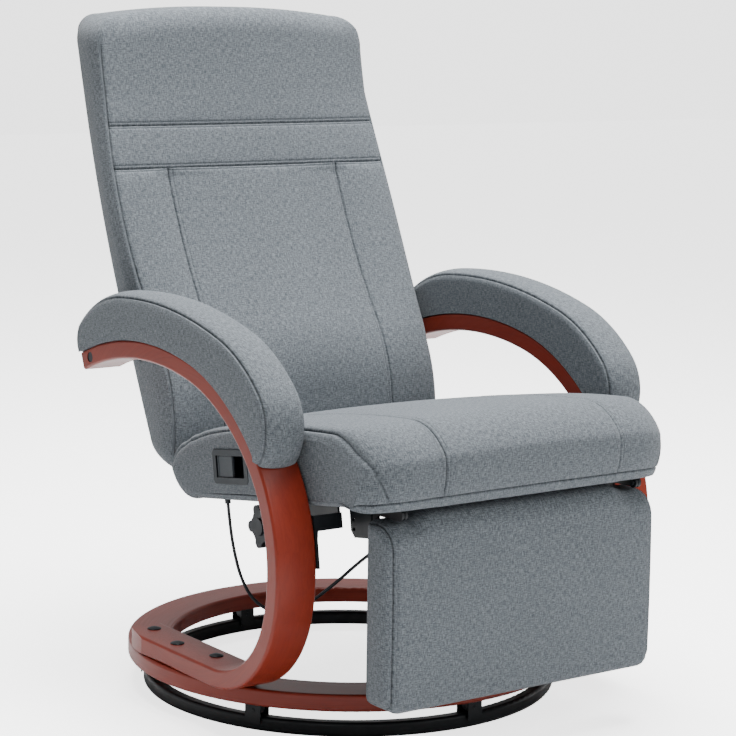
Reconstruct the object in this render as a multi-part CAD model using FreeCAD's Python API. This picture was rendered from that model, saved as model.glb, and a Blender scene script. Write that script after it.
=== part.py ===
import FreeCAD, Part
import math
import os

# A swivel recliner: a floor ring with six rollers, a wood ring that carries two bent-wood
# arms, a seat that glides between them, a hinged back and a lifting footrest.
# Millimetres. The floor is z 0, the swivel axis is x 0, y 0, and the chair faces -Y.
os.makedirs("parts", exist_ok=True)

# Seat: its own frame is tilted, with the underside at height 0
seat_tilt = 8.3
seat_reference = (-292.0, 356.0)
seat_half_width = 271.0
seat_height = 114.0
seat_rear = 101.0
seat_nose = -465.0
seat_crown = 10.0
seat_corner = 62.0
seat_edge_round = 16.0
seat_seam = seat_half_width - 114.0
seat_seam_depth = 3.0
seat_seam_width = 6.0
seat_shoulder = 79.0
seat_flat_front = seat_nose + 235.0
seat_flat_rear = seat_rear - 161.0
recess_half_width = seat_half_width - 31.0
recess_front = -345.0
recess_rear = 72.0
recess_depth = 38.0

# Arms: one bent strip each, as radius and heading at the end of every bend.
# Heading 0 points to -Y, 90 up and 180 to +Y.
seat_arm_gap = 4.0
arm_inner_face = seat_half_width + seat_arm_gap
arm_width = 66.0
arm_thickness = 28.0
arm_bend_start = -141.0
arm_foot_rear = 112.0
arm_bends = [(172.0, 74.8), (256.0, 132.0), (326.0, 167.4), (545.0, 202.0)]

# Wood ring and floor ring
wood_ring_radius = arm_inner_face + arm_width + 5.0
wood_ring_width = 68.0
wood_ring_bottom = 45.0
wood_ring_height = 26.0
wood_edge_round = 4.0
floor_ring_radius = wood_ring_radius - 24.0
floor_ring_width = 20.0
floor_ring_height = 22.0
floor_ring_round = 5.0

# Bolts through the arms' feet
foot_bolt_angles = [163.7, 180.5, 197.0]
foot_bolt_radius = 4.0
foot_bolt_circle = wood_ring_radius - 32.0
foot_cap_radius = 10.5
foot_cap_height = 2.6
foot_bolt_bite = 20.0
bolt_clearance = 0.4

# Rollers and their forked brackets
roller_angles = [0.0, 60.0, 120.0, 180.0, 240.0, 300.0]
roller_radius = 9.5
roller_width = 14.0
roller_edge_round = 1.2
axle_radius = 3.0
bracket_plate = 2.0
bracket_width = 25.0
bracket_gap = 2.0
bracket_drop = 33.0
bracket_round = 4.0
running_clearance = 0.06

# Arm pads, as radius and heading round the top outline
pad_start = (-268.6, 416.5)
pad_start_heading = 46.0
pad_bends = [(63.0, 64.1), (74.9, 134.2), (247.8, 163.4), (743.7, 185.6), (207.6, 223.8)]
pad_overhang = 4.0
pad_crown = 7.0
pad_edge_round = 6.0
pad_rear_bulge = 9.0
soft_gap = 0.3

# Back hinge through the arms' rear ends
back_pivot = (215.0, 506.0)
pivot_bolt_radius = 5.0
pivot_head_radius = 8.0
pivot_head_height = 5.0

# Seat frame
tube_radius = 11.0
tube_wall = 1.6
rail_face = seat_half_width - 43.5
rail_plate = 4.0
front_tube = (-328.0, 22.0)
rear_tube = (52.0, 20.0)
slide_gap = 0.5
clamp_point = (-123.7, -38.1)
guide_point = (-205.0, 14.0)
guide_radius = 5.0
rail_top = 34.0

# Knobs that clamp the glide
knob_radius = 33.0
knob_lobes = 5
knob_lobe_radius = 8.5
knob_notch_radius = 13.0
knob_thickness = 22.0
knob_hub_radius = 13.0
knob_gap = 1.5

# Back cushion: a front outline bent once at the lumbar, and a rear outline of one bend
back_half_width = seat_half_width - 19.0
back_front_low = (111.0, 385.0)
lumbar_radius = 255.1
lumbar_turn = 35.6
upper_front_radius = 1045.9
back_rear_points = [(197.0, 353.0), (378.0, 775.0), (436.0, 969.0)]
back_bottom = 331.0
back_top = 1041.0
back_arch = 22.0
back_corner = 47.0
back_crown = 13.0
low_crown = 2.0
crown_start = 430.0
crown_fade = 110.0
back_side_bulge = 5.0
back_rear_draw = 11.0
back_end_round = 38.0
barrel_start = 500.0
barrel_end = 900.0
barrel_width = 11.0
barrel_front = 10.0
seam_high = back_top - 187.0
seam_low = seam_high - 66.0
seam_depth = 4.0
back_seam_x = back_half_width - 91.0
pocket_half_width = back_half_width - 38.0
pocket_depth = 36.0
pocket_top = back_top - 86.0
panel_thickness = 3.0
panel_bottom = 376.0

# Back frame and its link to the seat
back_tube_x = pocket_half_width - 16.0
back_tube_inset = 19.0
back_tube_low = 395.0
back_tube_high = pocket_top - 25.0
lever_x = back_tube_x - 48.0
lever_plate = 5.0
bush_radius = 11.0
bracket_reach = 14.0
bracket_root = 26.0
port_gap = 2.0
link_point = (186.0, 320.0)
link_pin_radius = 5.0
link_gap = 1.6
link_arm_drop = 30.0
recline_angle = 25.0

# Footrest
footrest_half_width = seat_half_width - 31.0
footrest_rear = -376.0
footrest_front = -441.0
footrest_top = 350.0
footrest_bottom = 85.0
footrest_crown = 7.0
footrest_side_round = 22.0
footrest_corner = 24.0
footrest_nose_round = 34.0
footrest_rise = 11.0
hinge_point = (footrest_front + 16.0, footrest_top + 12.0)
hinge_eye = 8.0
hinge_pin_radius = 4.0
hinge_plate_x = rail_face - 21.5
hinge_plate_thickness = 4.0
hinge_plate_front = 22.0
hinge_plate_rear = 30.0
hinge_plate_drop = 72.0
leaf_drop = 100.0
keeper_length = 32.0
keeper_drop = 38.0

# Release paddle in the right side of the seat, and its cable
bezel_front = -137.0
bezel_rear = -41.0
bezel_low = 25.0
bezel_high = 77.0
bezel_lip = 2.4
bezel_depth = 24.0
bezel_rim = 8.0
bezel_cup_rear = -43.5
bezel_wall = 2.0
paddle_length = 38.0
paddle_thickness = 3.5
paddle_grip_radius = 2.6
paddle_pin_radius = 2.0
paddle_gap = 0.8
paddle_hub_radius = 2.75

# Release lock at the front tube
lock_x = -58.0
lock_width = 28.0
lock_length = 34.0
lock_height = 43.0
lock_slot = 6.0
lock_pin_radius = 3.0
keeper_plate = 4.0
lock_lever_plate = 3.0

# Cable, as its share of the way out from the lock to the seat's side, with y and z
cable_radius = 2.5
cable_spout_radius = 4.5
cable_socket_length = 27.0
cable_side = seat_half_width - 14.0
cable_lock_side = -lock_x + 6.0
cable_route = [
    (1.0, -53.0, 316.0),
    (0.984, -54.0, 281.0),
    (0.948, -55.0, 240.0),
    (0.896, -58.0, 200.0),
    (0.829, -71.0, 167.0),
    (0.725, -98.0, 150.0),
    (0.591, -138.0, 165.0),
    (0.456, -178.0, 204.0),
    (0.316, -217.0, 250.0),
    (0.161, -261.0, 290.0),
    (0.0, -304.0, 316.0),
]
cable_reach = cable_side - cable_lock_side
cable_points = [(-cable_lock_side - cable_reach * share, y, z) for share, y, z in cable_route]


def vec(x, y, z):
    return FreeCAD.Vector(x, y, z)


def box(x0, x1, y0, y1, z0, z1):
    return Part.makeBox(x1 - x0, y1 - y0, z1 - z0, vec(x0, y0, z0))


def rod_x(radius, x0, x1, y, z):
    low = min(x0, x1)
    return Part.makeCylinder(radius, abs(x1 - x0), vec(low, y, z), vec(1, 0, 0))


def rod_z(radius, x, y, z0, z1):
    return Part.makeCylinder(radius, z1 - z0, vec(x, y, z0), vec(0, 0, 1))


def side_shape(points, x0, x1):
    """A straight-edged outline in the side view, given as (y, z), made solid from x0 to x1."""
    loop = [vec(x0, y, z) for y, z in points]
    face = Part.Face(Part.makePolygon(loop + [loop[0]]))
    return face.extrude(vec(x1 - x0, 0, 0))


def slot_x(radius, y0, z0, y1, z1, x0, x1):
    """A solid with round ends, for cutting a slot between two centres in the side view."""
    length = math.hypot(y1 - y0, z1 - z0)
    side = ((z0 - z1) / length * radius, (y1 - y0) / length * radius)
    corners = [
        (y0 + side[0], z0 + side[1]),
        (y1 + side[0], z1 + side[1]),
        (y1 - side[0], z1 - side[1]),
        (y0 - side[0], z0 - side[1]),
    ]
    body = side_shape(corners, x0, x1)
    return body.fuse([rod_x(radius, x0, x1, y0, z0), rod_x(radius, x0, x1, y1, z1)]).removeSplitter()


def mirrored(shape):
    return shape.mirror(vec(0, 0, 0), vec(1, 0, 0))


def tilt_seat(shape):
    """Moves a solid from the seat's own level frame to its tilted place in the chair."""
    placed = shape.copy()
    placed.translate(vec(0, -seat_reference[0], 0))
    placed.rotate(vec(0, 0, 0), vec(1, 0, 0), -seat_tilt)
    placed.translate(vec(0, seat_reference[0], seat_reference[1]))
    return placed


def to_seat(y, z):
    """The seat-frame place of a point given in the chair's frame."""
    turn = math.radians(seat_tilt)
    dy = y - seat_reference[0]
    dz = z - seat_reference[1]
    level_y = seat_reference[0] + dy * math.cos(turn) - dz * math.sin(turn)
    return level_y, dy * math.sin(turn) + dz * math.cos(turn)


def link_move():
    """How far the link pin goes as the back reclines: along the seat's slide, and square to it."""
    turn = math.radians(recline_angle)
    tilt = math.radians(seat_tilt)
    y = link_point[0] - back_pivot[0]
    z = link_point[1] - back_pivot[1]
    dy = y * math.cos(turn) + z * math.sin(turn) - y
    dz = z * math.cos(turn) - y * math.sin(turn) - z
    return dz * math.sin(tilt) - dy * math.cos(tilt), dz * math.cos(tilt) + dy * math.sin(tilt)


seat_travel, link_rise = link_move()


def save(name, shape):
    """Writes one piece, after checking that it is one sound solid."""
    solids = shape.Solids
    if len(solids) != 1 or not shape.isValid():
        print("CHECK", name, "solids", len(solids), "valid", shape.isValid())
    solids[0].exportStep("parts/" + name + ".step")


def save_pair(name, right_shape):
    save(name + "_right", right_shape)
    save(name + "_left", mirrored(right_shape))


def heading_step(point, heading, radius, end_heading):
    """The end of a bend that starts at point, and the bend's middle."""
    def along(angle):
        start = math.radians(heading)
        stop = math.radians(angle)
        y = point[0] - radius * (math.sin(stop) - math.sin(start))
        z = point[1] + radius * (math.cos(start) - math.cos(stop))
        return y, z
    return along((heading + end_heading) / 2), along(end_heading)


def bent_line(start, heading, bends):
    """Points start, middle, end, middle, end and so on along a chain of bends."""
    points = [start]
    for radius, end_heading in bends:
        middle, end = heading_step(points[-1], heading, radius, end_heading)
        points += [middle, end]
        heading = end_heading
    return points


def arc_edges(points, x):
    """Arcs through start, middle, end triples of (y, z) points, in the plane at x."""
    edges = []
    for k in range(0, len(points) - 2, 2):
        a, b, c = [vec(x, y, z) for y, z in points[k:k + 3]]
        edges.append(Part.Arc(a, b, c).toShape())
    return edges


def line_edge(a, b, x):
    return Part.LineSegment(vec(x, a[0], a[1]), vec(x, b[0], b[1])).toShape()


def corner_inset(distance, radius):
    """How far a rounded edge has drawn in, at a distance inside the end of the form."""
    left = radius - min(radius, max(0.0, distance))
    return radius - math.sqrt(radius ** 2 - left ** 2)


def rounded_section(x0, x1, z0, z1, radius):
    """A rectangle in the XZ plane with four rounded corners."""
    face = Part.Face(Part.makePolygon([vec(x0, 0, z0), vec(x1, 0, z0), vec(x1, 0, z1), vec(x0, 0, z1),
                                       vec(x0, 0, z0)]))
    solid = face.extrude(vec(0, 1, 0))
    edges = [e for e in solid.Edges if abs(e.tangentAt(e.FirstParameter).y) > 0.9]
    solid = solid.makeFillet(radius, edges)
    flat = [f for f in solid.Faces if abs(f.normalAt(0, 0).y) > 0.9 and abs(f.CenterOfMass.y) < 0.01]
    return flat[0]


def make_floor_ring():
    section = rounded_section(floor_ring_radius - floor_ring_width, floor_ring_radius, 0.0,
                              floor_ring_height, floor_ring_round)
    save("floor_ring", section.revolve(vec(0, 0, 0), vec(0, 0, 1), 360))


wood_ring_top = wood_ring_bottom + wood_ring_height
foot_top = wood_ring_top + arm_thickness


def foot_bolt_places():
    """Bolt centres on the sitter's right, on the circle through the foot."""
    places = []
    for degrees in foot_bolt_angles:
        turn = math.radians(degrees)
        places.append((foot_bolt_circle * math.cos(turn), foot_bolt_circle * math.sin(turn)))
    return places


def make_wood_ring():
    section = rounded_section(wood_ring_radius - wood_ring_width, wood_ring_radius, wood_ring_bottom,
                              wood_ring_top, wood_edge_round)
    ring = section.revolve(vec(0, 0, 0), vec(0, 0, 1), 360)
    holes = []
    for x, y in foot_bolt_places():
        for side in (x, -x):
            depth = wood_ring_top - foot_bolt_bite - 1.0
            holes.append(rod_z(foot_bolt_radius + bolt_clearance, side, y, depth, wood_ring_top + 1))
    save("wood_ring", ring.cut(holes))


def make_roller_parts():
    """A forked bracket over the floor ring, and the roller that runs on the ring's top."""
    track = floor_ring_radius - floor_ring_width / 2
    axle_height = floor_ring_height + roller_radius
    half_depth = floor_ring_width / 2 + bracket_gap + bracket_plate
    half_width = bracket_width / 2
    low = wood_ring_bottom - bracket_drop
    body = box(-half_width, half_width, -half_depth, half_depth, low, wood_ring_bottom)
    foot_edges = [e for e in body.Edges if abs(e.tangentAt(e.FirstParameter).y) > 0.9
                  and e.CenterOfMass.z < low + 1]
    body = body.makeFillet(bracket_round, foot_edges)
    inside = half_depth - bracket_plate
    body = body.cut(box(-half_width - 1, half_width + 1, -inside, inside, low - 1,
                        wood_ring_bottom - bracket_plate))
    axle = Part.makeCylinder(axle_radius, 2 * half_depth + 2, vec(0, -half_depth - 1, axle_height),
                             vec(0, 1, 0))
    bracket = body.fuse(axle).removeSplitter()
    wheel = Part.makeCylinder(roller_radius, roller_width, vec(0, -roller_width / 2, axle_height),
                              vec(0, 1, 0))
    rims = [e for e in wheel.Edges if e.Closed and abs(e.Curve.Radius - roller_radius) < 0.1]
    wheel = wheel.makeFillet(roller_edge_round, rims)
    bore = Part.makeCylinder(axle_radius + running_clearance, roller_width + 2,
                             vec(0, -roller_width / 2 - 1, axle_height), vec(0, 1, 0))
    wheel = wheel.cut(bore)
    for number, degrees in enumerate(roller_angles, 1):
        for name, shape in (("roller_bracket_", bracket), ("roller_", wheel)):
            placed = shape.copy()
            placed.translate(vec(0, -track, 0))
            placed.rotate(vec(0, 0, 0), vec(0, 0, 1), degrees)
            save(name + str(number), placed)


def arm_outline(inset, start_y):
    """The bent line of the arm at a depth inside its outer face, as (y, z) points."""
    bends = [(radius - inset, heading) for radius, heading in arm_bends]
    return bent_line((start_y, wood_ring_top + inset), 0.0, bends)


def make_arm():
    outer = arm_outline(0.0, arm_bend_start)
    inner = arm_outline(arm_thickness, arm_bend_start)
    x = -arm_inner_face
    edges = arc_edges(outer, x) + [line_edge(outer[-1], inner[-1], x)] + arc_edges(inner, x)
    rear_low = (arm_foot_rear, wood_ring_top)
    rear_high = (arm_foot_rear, foot_top)
    edges += [line_edge(rear_low, outer[0], x), line_edge(inner[0], rear_high, x)]
    edges.append(line_edge(rear_high, rear_low, x))
    face = Part.Face(Part.Wire(Part.__sortEdges__(edges)))
    arm = face.extrude(vec(-arm_width, 0, 0))
    keep = rod_z(wood_ring_radius, 0, 0, wood_ring_top - 1, foot_top + 1)
    waste = box(-arm_inner_face - arm_width - 1, -arm_inner_face + 1, 0, arm_foot_rear + 1,
                wood_ring_top - 1, foot_top + 1).cut(keep)
    arm = arm.cut(waste)
    side_edges = [e for e in arm.Edges if on_arm_side(e)]
    arm = arm.makeFillet(wood_edge_round, side_edges)
    cuts = [rod_z(foot_bolt_radius + bolt_clearance, px, py, wood_ring_top - 1, foot_top + 1)
            for px, py in foot_bolt_places()]
    y, z = back_pivot
    outside = -arm_inner_face - arm_width
    cuts.append(rod_x(pivot_bolt_radius + bolt_clearance, outside - 1, -arm_inner_face + 1, y, z))
    cuts.append(rod_x(pivot_head_radius + bolt_clearance, outside - 1, outside + pivot_head_height, y, z))
    save_pair("arm", arm.cut(cuts))


def on_arm_side(edge):
    """True for the long edges of the strip that run along its two side faces."""
    ends = [v.Point for v in edge.Vertexes]
    outside = -arm_inner_face - arm_width
    if len(ends) < 2 or min(p.z for p in ends) < foot_top - 0.5 and max(p.y for p in ends) > -60:
        return False
    on_inner = all(abs(p.x + arm_inner_face) < 0.01 for p in ends)
    on_outer = all(abs(p.x - outside) < 0.01 for p in ends)
    above = max(p.z for p in ends) > foot_top + 5
    return (on_inner or on_outer) and above and edge.Length > arm_thickness + 5


def make_foot_bolts():
    for number, (x, y) in enumerate(foot_bolt_places(), 1):
        shank = rod_z(foot_bolt_radius, x, y, wood_ring_top - foot_bolt_bite, foot_top + 0.5)
        ball_radius = (foot_cap_radius ** 2 + foot_cap_height ** 2) / (2 * foot_cap_height)
        ball = Part.makeSphere(ball_radius, vec(x, y, foot_top + 1.0 + foot_cap_height - ball_radius))
        cap = rod_z(foot_cap_radius, x, y, foot_top, foot_top + foot_cap_height + 2).common(ball)
        bolt = shank.fuse(cap).removeSplitter()
        save("foot_bolt_right_" + str(number), bolt)
        save("foot_bolt_left_" + str(number), mirrored(bolt))


def make_pivot_bolts():
    y, z = back_pivot
    outside = -arm_inner_face - arm_width
    head = rod_x(pivot_head_radius, outside + 1.0, outside + pivot_head_height, y, z)
    shank = rod_x(pivot_bolt_radius, outside + 1.0, -pocket_half_width - 4, y, z)
    save_pair("pivot_bolt", head.fuse(shank).removeSplitter())


def pad_section(x, inset):
    """The pad's outline at x: the strip's bends below, and the drawn-in top outline above."""
    top_bends = [(radius - inset, heading) for radius, heading in pad_bends]
    rise = math.radians(pad_start_heading)
    shift = (inset * math.sin(rise), inset * math.cos(rise))
    start = (pad_start[0] + shift[0], pad_start[1] + shift[1])
    top = bent_line(start, pad_start_heading, top_bends)
    strip = arm_outline(-soft_gap, arm_bend_start)
    rear = strip[-1]
    rear_middle = (rear[0] + pad_rear_bulge - inset * 0.5, (rear[1] + top[-1][1]) / 2)
    outline = second_bend_from(start[1]) + strip[4:] + [rear_middle] + top[::-1]
    edges = arc_edges(outline, x)
    edges.append(line_edge(start, outline[0], x))
    return Part.Wire(edges)


def second_bend_from(height):
    """Start and middle of the part of the arm's second bend that lies above a height."""
    bend_start = arm_outline(0.0, arm_bend_start)[2]
    heading = math.radians(arm_bends[0][1])
    radius, end_heading = arm_bends[1]
    centre_y = bend_start[0] + radius * math.sin(heading)
    centre_z = bend_start[1] + radius * math.cos(heading)
    radius += soft_gap
    start_heading = 90 + math.degrees(math.asin((height - centre_z) / radius))
    points = []
    for degrees in (start_heading, (start_heading + end_heading) / 2):
        turn = math.radians(degrees)
        points.append((centre_y - radius * math.sin(turn), centre_z - radius * math.cos(turn)))
    return points


def make_arm_pad():
    inner = arm_inner_face - 0.5
    outer = arm_inner_face + arm_width + pad_overhang
    middle = (inner + outer) / 2
    stations = [(inner, pad_edge_round), (inner + 3, 4.0), (inner + 11, 0.0), (middle, -pad_crown),
                (outer - 11, 0.0), (outer - 3, 4.0), (outer, pad_edge_round)]
    wires = [pad_section(-x, inset) for x, inset in stations]
    save_pair("arm_pad", Part.makeLoft(wires, True, False))


def seat_section(x):
    """The seat's side outline at x, in the seat's own frame."""
    inside = seat_half_width - abs(x)
    plan = corner_inset(inside, seat_corner)
    edge = corner_inset(inside, seat_edge_round)
    crown = seat_crown * (1 - (x / seat_half_width) ** 2)
    seam = seat_seam_depth if abs(abs(x) - seat_seam) < 0.5 else 0.0
    top = seat_height + crown - edge
    nose = seat_nose + plan * 0.75 + seam + (0 if abs(x) < seat_seam else 3.0)
    rear = seat_rear - edge * 1.5
    low = edge * 0.6
    shoulder = nose + seat_shoulder - seam * 0.5
    points = [(rear - 77, low), (rear - 22, low + 12), (rear, low + 42), (rear - 8, top - 52),
              (rear - 40, top - 30), (rear - 90, top - 16), (seat_flat_rear, top - 7),
              (seat_flat_front, top - 1), (shoulder, top - 6 - seam * 0.4),
              (nose + 22, top - 29 - seam * 0.3), (nose, top - 60), (nose + 6, top - 94), (nose + 24, low)]
    edges = arc_edges(points, x)
    edges.append(line_edge(points[-1], points[0], x))
    return Part.Wire(edges)


def seat_block():
    near = seat_seam - seat_seam_width
    beyond = seat_seam + seat_seam_width
    flank = [seat_seam, beyond, beyond + 2 * seat_seam_width]
    for share in (1.23, 0.9, 0.63, 0.4, 0.23, 0.1, 0.025, 0.0):
        flank.append(seat_half_width - seat_corner * share)
    right = Part.makeLoft([seat_section(-x) for x in flank], True, False)
    half = [0.3 * seat_seam, 0.6 * seat_seam, near - 2 * seat_seam_width, near, seat_seam]
    stations = [-x for x in reversed(half)] + [0.0] + half
    centre = Part.makeLoft([seat_section(x) for x in stations], True, False)
    return right.fuse([centre, mirrored(right)])


def cable_spout(radius):
    """A round spout from the cable's first face up into the floor of the paddle's cup."""
    start = FreeCAD.Vector(*cable_points[0])
    upward = (start - FreeCAD.Vector(*cable_points[1])).normalize()
    under_cup = to_seat(start.y, start.z)[1]
    return Part.makeCylinder(radius, bezel_low + bezel_rim + bezel_wall / 2 - under_cup, start, upward)


def make_seat_cushion():
    block = seat_block()
    recess = box(-recess_half_width, recess_half_width, recess_front, recess_rear, -20, recess_depth)
    upright = [e for e in recess.Edges if abs(e.tangentAt(e.FirstParameter).z) > 0.9]
    recess = recess.makeFillet(12.0, upright)
    housing = box(-seat_half_width - 1, -seat_half_width + bezel_depth + 0.3, bezel_front + bezel_rim - 0.3,
                  bezel_cup_rear + 0.3, bezel_low + bezel_rim - 0.3, bezel_high - bezel_rim + 0.3)
    cushion = tilt_seat(block.cut([recess, housing]))
    save("seat_cushion", cushion.cut(cable_spout(cable_spout_radius + soft_gap)))


def make_rails():
    """Side plates of the seat frame, each with a clamp lug and a guide stud."""
    x0 = -rail_face
    x1 = -rail_face + rail_plate
    cy, cz = clamp_point
    plate = side_shape([(recess_front + 4, 3.0), (recess_front + 4, rail_top), (recess_rear - 4, rail_top),
                        (recess_rear - 4, 3.0)], x0, x1)
    lug = side_shape([(cy - 17, 8.0), (cy + 17, 8.0), (cy + 12, cz), (cy - 12, cz)], x0, x1)
    lug = lug.fuse(rod_x(12.0, x0, x1, cy, cz))
    gy, gz = guide_point
    stud_end = x0 - rail_plate - slide_gap - 4.0
    stud = rod_x(guide_radius, stud_end, x1, gy, gz)
    stud = stud.fuse(rod_x(guide_radius + 3.5, stud_end, stud_end + 3.0, gy, gz))
    holes = [rod_x(tube_radius, x0 - 1, x1 + 1, y, z) for y, z in (front_tube, rear_tube)]
    rail = plate.fuse([lug, stud]).removeSplitter().cut(holes)
    rail = rail.cut(rod_x(guide_radius, x0 - 1, x1 + 1, cy, cz))
    save_pair("seat_rail", tilt_seat(rail))


def make_glide_plates():
    """Fixed plates on the arms' inner faces, with the two slots that the seat glides in."""
    x0 = -rail_face - slide_gap - rail_plate
    x1 = -rail_face - slide_gap
    gy, gz = guide_point
    cy, cz = clamp_point
    front = gy - seat_travel - guide_radius - 12
    rear = cy + guide_radius + 9
    low = gz - 48.0
    high = gz + 13.0
    foot = cz - 15
    outline = [(front, low), (front, high), (rear, high), (rear, foot), (gy - 35, foot), (gy - 39, low)]
    plate = side_shape(outline, x0, x1)
    face = -arm_inner_face
    web = box(face, x1, front - rail_plate, front, low, low + 22)
    flange = box(face, face + rail_plate, front - 4, front + 20, low - 52, low + 22)
    cuts = [slot_x(guide_radius + slide_gap, gy, gz, gy - seat_travel, gz, x0 - 1, x1 + 1),
            slot_x(guide_radius + slide_gap, cy, cz, cy - seat_travel, cz, x0 - 1, x1 + 1)]
    save_pair("glide_plate", tilt_seat(plate.fuse([web, flange]).removeSplitter().cut(cuts)))


def make_clamp_bolts():
    """Bolts through rail and glide plate, whose ends carry the knobs."""
    cy, cz = clamp_point
    inner = -rail_face + rail_plate
    knob_inside = -rail_face - slide_gap - rail_plate - knob_gap
    shank = rod_x(guide_radius, knob_inside - knob_thickness + 6, inner, cy, cz)
    head = rod_x(guide_radius + 4, inner, inner + 5, cy, cz)
    save_pair("clamp_bolt", tilt_seat(shank.fuse(head).removeSplitter()))


def make_knobs():
    cy, cz = clamp_point
    inside = -rail_face - slide_gap - rail_plate - knob_gap
    outside = inside - knob_thickness
    reach = knob_radius - knob_lobe_radius
    waist = rod_x(reach, outside + 5, inside - 2, cy, cz)
    lobes = []
    notches = []
    for k in range(knob_lobes):
        turn = 2 * math.pi * k / knob_lobes
        ly, lz = cy + reach * math.cos(turn), cz + reach * math.sin(turn)
        lobes.append(rod_x(knob_lobe_radius, outside + 5, inside - 2, ly, lz))
        between = turn + math.pi / knob_lobes
        far = knob_radius + 3.0
        notches.append(rod_x(knob_notch_radius, outside - 1, inside + 1, cy + far * math.cos(between),
                             cz + far * math.sin(between)))
    hub = rod_x(knob_hub_radius, outside, inside, cy, cz)
    bore = rod_x(guide_radius + running_clearance, outside + 5, inside + 1, cy, cz)
    star = waist.fuse(lobes).cut(notches)
    save_pair("knob", tilt_seat(star.fuse(hub).removeSplitter().cut(bore)))


def make_seat_tubes():
    width = rail_face
    front = rod_x(tube_radius, -width, width, front_tube[0], front_tube[1])
    bore = rod_x(tube_radius - tube_wall, -width - 1, width + 1, front_tube[0], front_tube[1])
    save("seat_front_tube", tilt_seat(front.cut(bore)))
    rear = rod_x(tube_radius, -width, width, rear_tube[0], rear_tube[1])
    y, z = to_seat(link_point[0], link_point[1])
    x0 = -lever_x + 4.0
    ty, tz = rear_tube
    low = tz - link_arm_drop
    arm = side_shape([(ty - 14, low), (ty - 14, tz + 4), (ty + 8, tz + 4), (ty + 18, low + 16),
                      (y - 16, low + 16), (y - 14, z + link_rise + 12), (y + 14, z + link_rise + 12),
                      (y + 14, low + 6), (y + 8, low)], x0, x0 + lever_plate)
    slot = slot_x(link_pin_radius + link_gap, y, z, y - 0.5, z + link_rise, x0 - 1, x0 + lever_plate + 1)
    arm = arm.cut(slot)
    bore = rod_x(tube_radius - tube_wall, -width - 1, width + 1, rear_tube[0], rear_tube[1])
    whole = rear.fuse([arm, mirrored(arm)]).removeSplitter().cut(bore)
    save("seat_rear_tube", tilt_seat(whole))


def make_hinge_plates():
    """Plates on the seat's front tube that carry the footrest's hinge."""
    x0 = -hinge_plate_x - hinge_plate_thickness
    x1 = -hinge_plate_x
    y, z = to_seat(hinge_point[0], hinge_point[1])
    ty, tz = front_tube
    front = ty - hinge_plate_front
    rear = ty + hinge_plate_rear
    low = tz - hinge_plate_drop
    neck = tz - tube_radius - 15
    strip = side_shape([(y, z + hinge_eye), (y, z - 1.5), (front, neck - 11), (front, neck)], x0, x1)
    eye = rod_x(hinge_eye, x0, x1, y, z)
    deep = side_shape([(front, low + 4), (front, neck), (front + 8, neck + 3), (front + 8, rail_top),
                       (ty + 14, rail_top), (rear, tz - 12), (rear, low + 10), (rear - 8, low),
                       (front + 6, low)], x0, x1)
    cuts = [rod_x(tube_radius, x0 - 1, x1 + 1, ty, tz),
            rod_x(hinge_pin_radius + running_clearance, x0 - 1, x1 + 1, y, z)]
    cuts += [rod_x(3.0, x0 - 1, x1 + 1, rear - 8, low + height) for height in (12.0, 26.0, 40.0)]
    save_pair("hinge_plate", tilt_seat(strip.fuse([eye, deep]).removeSplitter().cut(cuts)))


def footrest_lift_at(x):
    """How much higher the footrest's top stands between its hinge plates."""
    share = (hinge_plate_x - hinge_eye - abs(x)) / 40.0
    share = min(1.0, max(0.0, share))
    return footrest_rise * share * share * (3 - 2 * share)


def footrest_section(x):
    """The footrest's side outline at x."""
    inside = footrest_half_width - abs(x)
    side = corner_inset(inside, footrest_side_round)
    corner = corner_inset(inside, footrest_corner)
    crown = footrest_crown * (1 - (x / footrest_half_width) ** 2) + 1.0
    front = footrest_front + side * 0.6
    rear = footrest_rear - side * 0.35
    low = footrest_bottom + corner
    high = footrest_top - corner * 0.4 + footrest_lift_at(x)
    nose = front + footrest_nose_round
    edges = arc_edges([(rear, low + 6), (rear - 1.8, low + 1.8), (rear - 6, low)], x)
    edges.append(line_edge((rear - 6, low), (front + 12, low), x))
    edges += arc_edges([(front + 12, low), (front + 3, low + 4), (front, low + 14),
                        (front - crown, (low + high) / 2), (front, high - footrest_nose_round),
                        (front + 11, high - 10), (nose, high)], x)
    edges.append(line_edge((nose, high), (rear - 6, high), x))
    edges += arc_edges([(rear - 6, high), (rear - 1.8, high - 1.8), (rear, high - 6)], x)
    edges.append(line_edge((rear, high - 6), (rear, low + 6), x))
    return Part.Wire(edges)


def make_footrest_panel():
    level = hinge_plate_x - hinge_eye
    half = [0.0, level - 90, level - 50, level - 36, level - 20, level - 4, level + 4]
    half += [footrest_half_width - footrest_corner * share for share in (1.1, 0.7, 0.4, 0.17, 0.04, 0.0)]
    stations = [-x for x in reversed(half[1:])] + half
    save("footrest_panel", Part.makeLoft([footrest_section(x) for x in stations], True, False))


def make_footrest_leaves():
    """Bent plates on the footrest's rear face, with the pins of its hinge."""
    x1 = -hinge_plate_x - hinge_plate_thickness - 1.5
    x0 = x1 - hinge_plate_thickness
    y, z = hinge_point
    behind = footrest_rear + 12
    touching = footrest_rear + 0.5
    low = footrest_top - leaf_drop
    strip = side_shape([(y, z + hinge_eye), (behind, z), (behind, low), (touching, low),
                        (touching, footrest_top + 2.5), (y, footrest_top + 4)], x0, x1)
    eye = rod_x(hinge_eye, x0, x1, y, z)
    flange = box(x1 - 1, x1 + 20, touching, footrest_rear + 4, low, footrest_top - 15)
    pin = rod_x(hinge_pin_radius, x0, -hinge_plate_x + 3, y, z)
    save_pair("footrest_leaf", strip.fuse([eye, flange, pin]).removeSplitter())


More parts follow.
